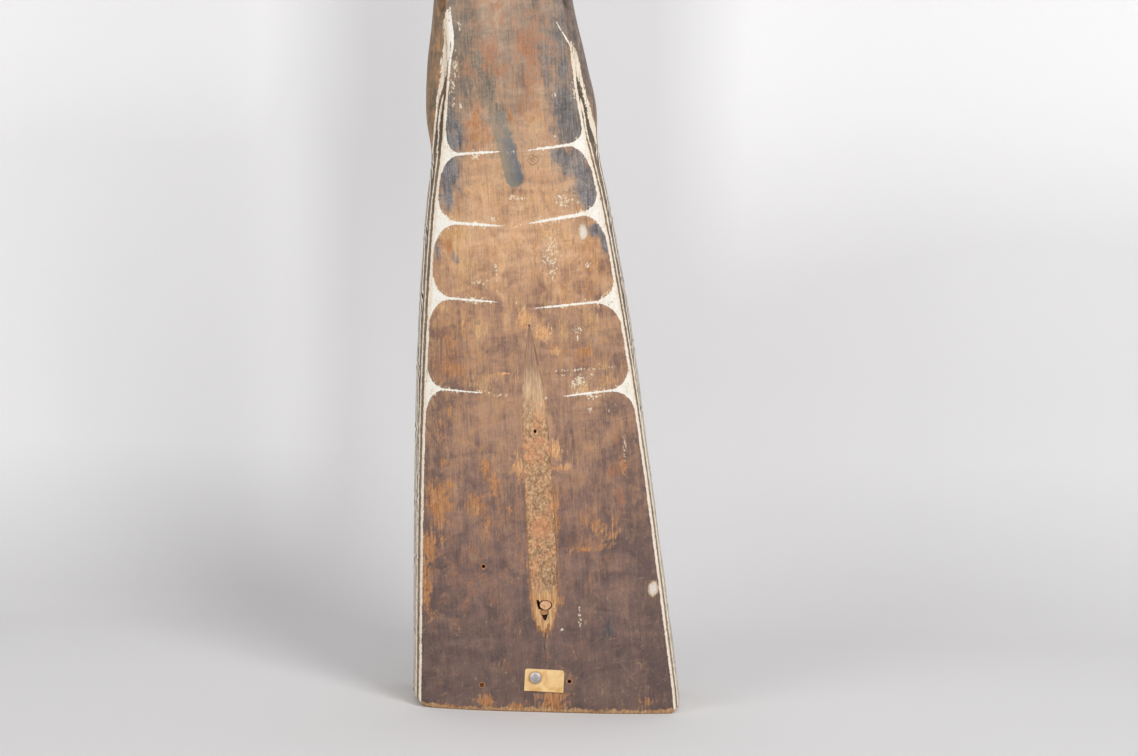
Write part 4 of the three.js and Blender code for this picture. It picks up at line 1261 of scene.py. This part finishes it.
peach = put(rotten, "MapRange", peach, 1.0, 1.16, 0, 0.62)
# One pink patch below the middle, where the loose grains have fallen out
from_pink = put(rotten, "VectorMath DISTANCE", log_mm, (4, FACE_Y, 156)).outputs["Value"]
from_pink = put(rotten, "Math MULTIPLY_ADD", noises["lump"], 10, from_pink)
peach = put(rotten, "Math MAXIMUM", peach, put(rotten, "MapRange", from_pink, 11, 18, 0.7, 0))
tinted = put(rotten, "MixRGB", peach, tinted, linear("#dc9c72"))
lumps = put(rotten, "MapRange", noises["lump"], 0.34, 0.56, 0.76, 1.04)
lumpy = put(rotten, "MixRGB MULTIPLY", 1.0, tinted, lumps)
smooth_top = put(
    rotten, "ValToRGB", noises["fibre"], stops=((0.38, "#be9b80"), (0.5, "#ddb791"), (0.62, "#efd3ac")),
)
fade = put(rotten, "MapRange SMOOTHSTEP", place["Z"], 240, 275, 0, 0.8)
faded = put(rotten, "MixRGB", fade, lumpy, smooth_top)
fade = put(rotten, "MapRange SMOOTHSTEP", place["Z"], 270, 302, 0, 0.95)
face_grain = put(
    rotten, "ValToRGB", noises["fibre"], stops=((0.35, "#8d6c59"), (0.5, "#a5826b"), (0.65, "#b89479")),
)
faded = put(rotten, "MixRGB", fade, faded, face_grain)
split_wood = put(
    rotten, "ValToRGB", noises["fibre"], stops=((0.36, "#b5845a"), (0.5, "#d0a070"), (0.62, "#e6bd8e")),
)
foot = put(rotten, "Math MULTIPLY_ADD", noises["lump"], -16, place["Z"])
foot = put(rotten, "MapRange", foot, 90, 96, 1, 0)
whole = put(rotten, "MixRGB", foot, faded, split_wood)
cleft = put(rotten, "Math ABSOLUTE", put(rotten, "Math SUBTRACT", noises["cleft"], 0.5))
cleft = put(rotten, "MapRange", cleft, 0.004, 0.012, 0.7, 0)
cleft = put(rotten, "Math MULTIPLY", cleft, put(rotten, "MapRange", place["Z"], 150, 180, 1, 0.25))
cleft = put(rotten, "Math MULTIPLY", cleft, put(rotten, "MapRange", place["Z"], 255, 275, 1, 0))
split = put(rotten, "MixRGB", cleft, whole, linear("#7d4e36"))
# The right rim shows as a thin line of painted shadow and the left one melts away. Deep holes are darkened
# with painted shade.
rim_place = put(rotten, "Math", put(rotten, "MapRange", noises["lump"], 0.35, 0.65, -0.6, 0.6), from_rim)
rim_shadow = put(rotten, "MapRange SMOOTHSTEP", rim_place, 0.0, 0.9, 0.75, 0)
rim_shadow = put(rotten, "Math MULTIPLY", rim_shadow, put(rotten, "MapRange", from_middle, -2, 2, 0.45, 1))
rim_shadow = put(rotten, "Math MULTIPLY", rim_shadow, put(rotten, "MapRange", foot, 0, 1, 1, 0.15))
rimmed = put(rotten, "MixRGB", rim_shadow, split, linear("#80624b"))
torn = put(rotten, "MapRange", sunk_in, 1.2, 1.7, 0, 0.7)
rimmed = put(rotten, "MixRGB", torn, rimmed, linear("#a67a56"))
hole_shade = put(rotten, "MapRange", sunk_in, 2.4, 3.4, 0, 0.9)
shaded_holes = put(rotten, "MixRGB", hole_shade, rimmed, linear("#33231a"))
bump = put(rotten, "Bump", named={
    "Strength": 0.8, "Distance": 0.5 * MM, "Height": put(rotten, "Math", noises["grain"], noises["lump"]),
})
shader = put(rotten, "BsdfPrincipled", named={
    "Base Color": shaded_holes, "Roughness": 0.95, "Specular IOR Level": 0.2, "Normal": bump,
})
put(rotten, "OutputMaterial", shader)
filling.data.materials.clear()
filling.data.materials.append(rotten)
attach(filling, "prow")
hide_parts("heart_filling")

# Plug at the foot of the filling: a stub of pale wood cut off rough, knocked into its hole and loose on
# its left side.
PLUG_SINK = 0.6
PLUG_LENGTH = 13
PLUG_LUMPS = 0.1
PLUG_RIM_LENGTH = 1.6
PLUG_RIM_WEAR = 0.07
PLUG_SPLIT = (0.35, 0.55)


def stub_blank(sides, radius, length, cuts, rings, ring_width):
    """A rod along the depth of the log, cut across its length and ringed on its front end."""
    bm = bmesh.new()
    turn = Matrix.Rotation(math.radians(90), 4, "X")
    bmesh.ops.create_cone(
        bm, cap_ends=True, segments=sides, radius1=radius, radius2=radius, depth=length, matrix=turn,
    )
    long_edges = [e for e in bm.edges if abs(e.verts[0].co.y - e.verts[1].co.y) > 1]
    bmesh.ops.subdivide_edges(bm, edges=long_edges, cuts=cuts)
    cap = [f for f in bm.faces if f.normal.y < -0.9]
    for ring in range(rings):
        bmesh.ops.inset_region(bm, faces=cap, thickness=ring_width, use_even_offset=True)
    return bm


bm = stub_blank(sides=30, radius=1, length=PLUG_LENGTH, cuts=6, rings=5, ring_width=0.16)
for vert in bm.verts:
    x, y, z = vert.co
    radius = math.hypot(x, z)
    angle = math.atan2(z, x)
    rough = 0.93 + PLUG_LUMPS * waves(2 * math.cos(angle), 2 * math.sin(angle), y / 5)
    near_top = ease(PLUG_RIM_LENGTH - PLUG_LENGTH / 2, -PLUG_LENGTH / 2, y)
    rough -= PLUG_RIM_WEAR * near_top * radius**4
    split = PLUG_SPLIT[1] * waves(x * 2.2, z * 2.2, 1.0) * near_top
    vert.co = Vector((
        PLUG_PLACE[0] + x * PLUG_HALF[0] * rough,
        FACE_Y + PLUG_SINK + PLUG_LENGTH / 2 + y + max(0, PLUG_SPLIT[0] + split) * near_top,
        PLUG_PLACE[1] + z * PLUG_HALF[1] * rough,
    ))
bmesh.ops.transform(bm, matrix=log_mm_to_room, verts=bm.verts[:])
bmesh.ops.recalc_face_normals(bm, faces=bm.faces[:])

# Fresh pale wood, end grain to the front: fine pores, a few torn fibres, dirt in them
plug_wood = new_material("pale end-grain wood")
log_mm = log_millimetres(plug_wood)
pores = put(
    plug_wood, "TexNoise", named={"Vector": log_mm, "Scale": 1 / 0.9, "Detail": 3.0, "Roughness": 0.6},
)
torn = put(
    plug_wood, "TexNoise", named={"Vector": log_mm, "Scale": 1 / 3.5, "Detail": 3.0, "Distortion": 0.8},
)
both = put(plug_wood, "Math", pores, torn)
plug_colour = put(plug_wood, "ValToRGB", put(plug_wood, "Math MULTIPLY", both, 0.5), stops=(
    (0.36, "#b07f58"), (0.46, "#dcaa80"), (0.56, "#efc096"), (0.68, "#f6cfa8"),
))
bump = put(plug_wood, "Bump", named={"Strength": 0.6, "Distance": 0.4 * MM, "Height": both})
shader = put(plug_wood, "BsdfPrincipled", named={
    "Base Color": plug_colour, "Roughness": 0.8, "Specular IOR Level": 0.3, "Normal": bump,
})
put(plug_wood, "OutputMaterial", shader)
plug = finish_piece("plug_stub", bm, plug_wood)
plug.data.set_sharp_from_angle(angle=math.radians(50))
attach(plug, "prow")
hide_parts("heart_plug")

# Nail stub: an iron nail that was driven into the face and snapped off inside its hole, swollen with
# rust. Its ragged end lies a millimetre under the paint.
NAIL_SINK = 1.0
NAIL_LENGTH = 22
NAIL_RADIUS = 1.6
NAIL_SCALES = 0.14
NAIL_BREAK = (0.35, 0.5)
nail_front = face_y(NAIL_PLACE[0], section_at(NAIL_PLACE[1])) + NAIL_SINK
bm = stub_blank(sides=16, radius=NAIL_RADIUS, length=NAIL_LENGTH, cuts=10, rings=3, ring_width=0.42)
for vert in bm.verts:
    x, y, z = vert.co
    scale = 0.9 + NAIL_SCALES * waves(x * 0.9, y * 0.5, z * 0.9)
    snapped = ease(-NAIL_LENGTH / 2 + 0.5, -NAIL_LENGTH / 2, y)
    sunk = snapped * (NAIL_BREAK[0] + NAIL_BREAK[1] * waves(x, z, 2.0))
    depth = nail_front + NAIL_LENGTH / 2 + y + max(0, sunk)
    vert.co = Vector((NAIL_PLACE[0] + x * scale, depth, NAIL_PLACE[1] + z * scale))
bmesh.ops.transform(bm, matrix=log_mm_to_room, verts=bm.verts[:])
bmesh.ops.recalc_face_normals(bm, faces=bm.faces[:])

# Rust: iron oxide over the metal, so matt and not metallic, orange to dark brown in half-millimetre scales
rust = new_material("rusted iron")
objects_place = put(rust, "TexCoord").outputs["Object"]
scales = put(
    rust, "TexNoise", named={"Vector": objects_place, "Scale": 1400.0, "Detail": 3.0, "Roughness": 0.65},
)
rust_colour = put(rust, "ValToRGB", scales, stops=((0.35, "#4a2c1e"), (0.5, "#83492c"), (0.65, "#b06a3e")))
bump = put(rust, "Bump", named={"Strength": 0.8, "Distance": 0.3 * MM, "Height": scales})
put(rust, "OutputMaterial", put(rust, "BsdfPrincipled", named={
    "Base Color": rust_colour, "Roughness": 0.9, "Specular IOR Level": 0.3, "Normal": bump,
}))
nail = finish_piece("rusty_nail", bm, rust)
nail.data.set_sharp_from_angle(angle=math.radians(50))
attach(nail, "prow")
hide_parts("nail_stub")

# Tag: a small slip of manila card with two rounded corners, hung on the drawing pin. It has curled a
# little away from the wood at its free end.
PIN_PLACE = (-8.6, 25.5)
TAG_SIZE = (34, 19.4)
TAG_THICKNESS = 0.5
TAG_PIN = (9.2, 7.6)
TAG_CORNER = 2.2
TAG_LOW_CORNER = 0.5
TAG_CURL_START = 5
TAG_TURN = math.radians(-6.3)
TAG_BACK = -0.3
TAG_CURL = 0.45
TAG_CUTS = 24
tag_left, tag_top = -TAG_PIN[0], TAG_PIN[1]
bm = bmesh.new()
bmesh.ops.create_grid(bm, x_segments=1, y_segments=1, size=0.5)
bmesh.ops.scale(bm, vec=(TAG_SIZE[0], TAG_SIZE[1], 1), verts=bm.verts[:])
tag_middle = (tag_left + TAG_SIZE[0] / 2, tag_top - TAG_SIZE[1] / 2, 0)
bmesh.ops.translate(bm, vec=tag_middle, verts=bm.verts[:])
for level, radius in ((tag_top, TAG_CORNER), (tag_top - TAG_SIZE[1], TAG_LOW_CORNER)):
    corners = [v for v in bm.verts if abs(v.co.y - level) < 0.01]
    bmesh.ops.bevel(
        bm, geom=corners, offset=radius, segments=5, profile=0.5, affect="VERTICES", material=-1,
    )
bmesh.ops.rotate(bm, matrix=Matrix.Rotation(math.radians(90), 3, "X"), verts=bm.verts[:])
top = bmesh.ops.extrude_face_region(bm, geom=bm.faces[:])["geom"]
top = [v for v in top if isinstance(v, bmesh.types.BMVert)]
bmesh.ops.translate(bm, vec=(0, -TAG_THICKNESS, 0), verts=top)
for i in range(1, TAG_CUTS):
    at = (tag_left + TAG_SIZE[0] * i / TAG_CUTS, 0, 0)
    everything = bm.verts[:] + bm.edges[:] + bm.faces[:]
    bmesh.ops.bisect_plane(bm, geom=everything, plane_co=at, plane_no=(1, 0, 0))
bmesh.ops.recalc_face_normals(bm, faces=bm.faces[:])
tag_place = log_to_room @ Matrix.Translation(Vector((PIN_PLACE[0], FACE_Y + TAG_BACK, PIN_PLACE[1])) * MM)
tag_place = tag_place @ Matrix.Rotation(-TAG_TURN, 4, "Y") @ Matrix.Scale(MM, 4)
for vert in bm.verts:
    out = max(0, vert.co.x - TAG_CURL_START) / (TAG_SIZE[0] - TAG_PIN[0] - TAG_CURL_START)
    vert.co.y -= TAG_CURL * out**2
bmesh.ops.transform(bm, matrix=tag_place, verts=bm.verts[:])

# Manila card: buff stock with faint fibres, darker in a ring round the pin
card = new_material("aged manila card")
tag_mm = log_millimetres(card)
fibres = put(card, "TexNoise", named={"Vector": tag_mm, "Scale": 1 / 0.8, "Detail": 3.0, "Roughness": 0.7})
smudges = put(card, "TexNoise", named={"Vector": tag_mm, "Scale": 1 / 9, "Detail": 3.0, "Distortion": 0.4})
card_tone = put(card, "Math", fibres, put(card, "Math MULTIPLY", smudges, 2.0))
card_colour = put(card, "ValToRGB", put(card, "Math MULTIPLY", card_tone, 0.333), stops=(
    (0.36, "#e4b26f"), (0.46, "#f6cc8d"), (0.6, "#ffdca2"),
))
from_pin = put(card, "VectorMath DISTANCE", tag_mm, (PIN_PLACE[0], FACE_Y, PIN_PLACE[1])).outputs["Value"]
pin_ring = put(card, "MapRange SMOOTHSTEP", from_pin, 4.8, 7.5, 0.5, 0)
ringed_card = put(card, "MixRGB", pin_ring, card_colour, linear("#b07c48"))
bump = put(card, "Bump", named={"Strength": 0.25, "Distance": 0.1 * MM, "Height": fibres})
put(card, "OutputMaterial", put(card, "BsdfPrincipled", named={
    "Base Color": ringed_card, "Roughness": 0.75, "Specular IOR Level": 0.35, "Normal": bump,
}))
tag = finish_piece("card_tag", bm, card, smooth=False)
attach(tag, "tag")
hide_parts("paper_tag")

# Drawing pin: a stamped steel head, slightly domed with a rolled rim, on a short sharp shank that is
# pushed through the card into the wood. The card turns on it.
PIN_HEAD_RADIUS = 5.0
PIN_HEAD_HEIGHT = 1.6
PIN_RIM = 0.5
PIN_SHANK = 0.55
PIN_LENGTH = 9.0
PIN_POINT = 2.0
PIN_HEAD_BACK = -1.1
PIN_DOME_STEPS = 10
PIN_SIDES = 48
bm = bmesh.new()
profile = [
    (0, -PIN_LENGTH), (PIN_SHANK, PIN_POINT - PIN_LENGTH), (PIN_SHANK, 0),
    (PIN_HEAD_RADIUS - 0.25, 0),
]
profile += [(PIN_HEAD_RADIUS - 0.07, 0.08), (PIN_HEAD_RADIUS, 0.25), (PIN_HEAD_RADIUS - 0.05, PIN_RIM)]
# The dome rises from a small step inside the rolled rim
dome_radius, dome_foot = PIN_HEAD_RADIUS - 0.15, PIN_RIM + 0.08
for i in range(1, PIN_DOME_STEPS + 1):
    turn = i / PIN_DOME_STEPS * math.pi / 2
    profile.append((
        dome_radius * math.cos(turn), dome_foot + (PIN_HEAD_HEIGHT - dome_foot) * math.sin(turn),
    ))
profile[-1] = (0, profile[-1][1])
points = [bm.verts.new((radius, -out, 0)) for radius, out in profile]
edges = [bm.edges.new(pair) for pair in zip(points, points[1:])]
bmesh.ops.spin(
    bm, geom=points + edges, cent=(0, 0, 0), axis=(0, 1, 0), angle=2 * math.pi, steps=PIN_SIDES,
    use_merge=True, use_duplicate=False,
)
bmesh.ops.remove_doubles(bm, verts=bm.verts[:], dist=0.001)
bmesh.ops.recalc_face_normals(bm, faces=bm.faces[:])
pin_place = Matrix.Translation(Vector((PIN_PLACE[0], FACE_Y + PIN_HEAD_BACK, PIN_PLACE[1])) * MM)
pin_place = log_to_room @ pin_place @ Matrix.Scale(MM, 4)
bmesh.ops.transform(bm, matrix=pin_place, verts=bm.verts[:])

# Tinned steel gone dull: metal, but roughened by fine pitting to a soft grey sheen
pin_steel = new_material("dull tinned steel")
objects_place = put(pin_steel, "TexCoord").outputs["Object"]
pits = put(
    pin_steel, "TexNoise", named={"Vector": objects_place, "Scale": 900.0, "Detail": 4.0, "Roughness": 0.7},
)
haze = put(pin_steel, "TexNoise", named={"Vector": objects_place, "Scale": 260.0, "Detail": 2.0})
steel_colour = put(pin_steel, "ValToRGB", haze, stops=((0.35, "#a9a3a6"), (0.6, "#cfc8c8")))
steel_roughness = put(pin_steel, "MapRange", pits, 0.3, 0.7, 0.38, 0.6)
bump = put(pin_steel, "Bump", named={"Strength": 0.25, "Distance": 0.1 * MM, "Height": pits})
put(pin_steel, "OutputMaterial", put(pin_steel, "BsdfPrincipled", named={
    "Base Color": steel_colour, "Metallic": 1.0, "Roughness": steel_roughness, "Normal": bump,
}))
pin = finish_piece("drawing_pin_head", bm, pin_steel)
pin.data.set_sharp_from_angle(angle=math.radians(40))
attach(pin, "prow")
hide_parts("drawing_pin")
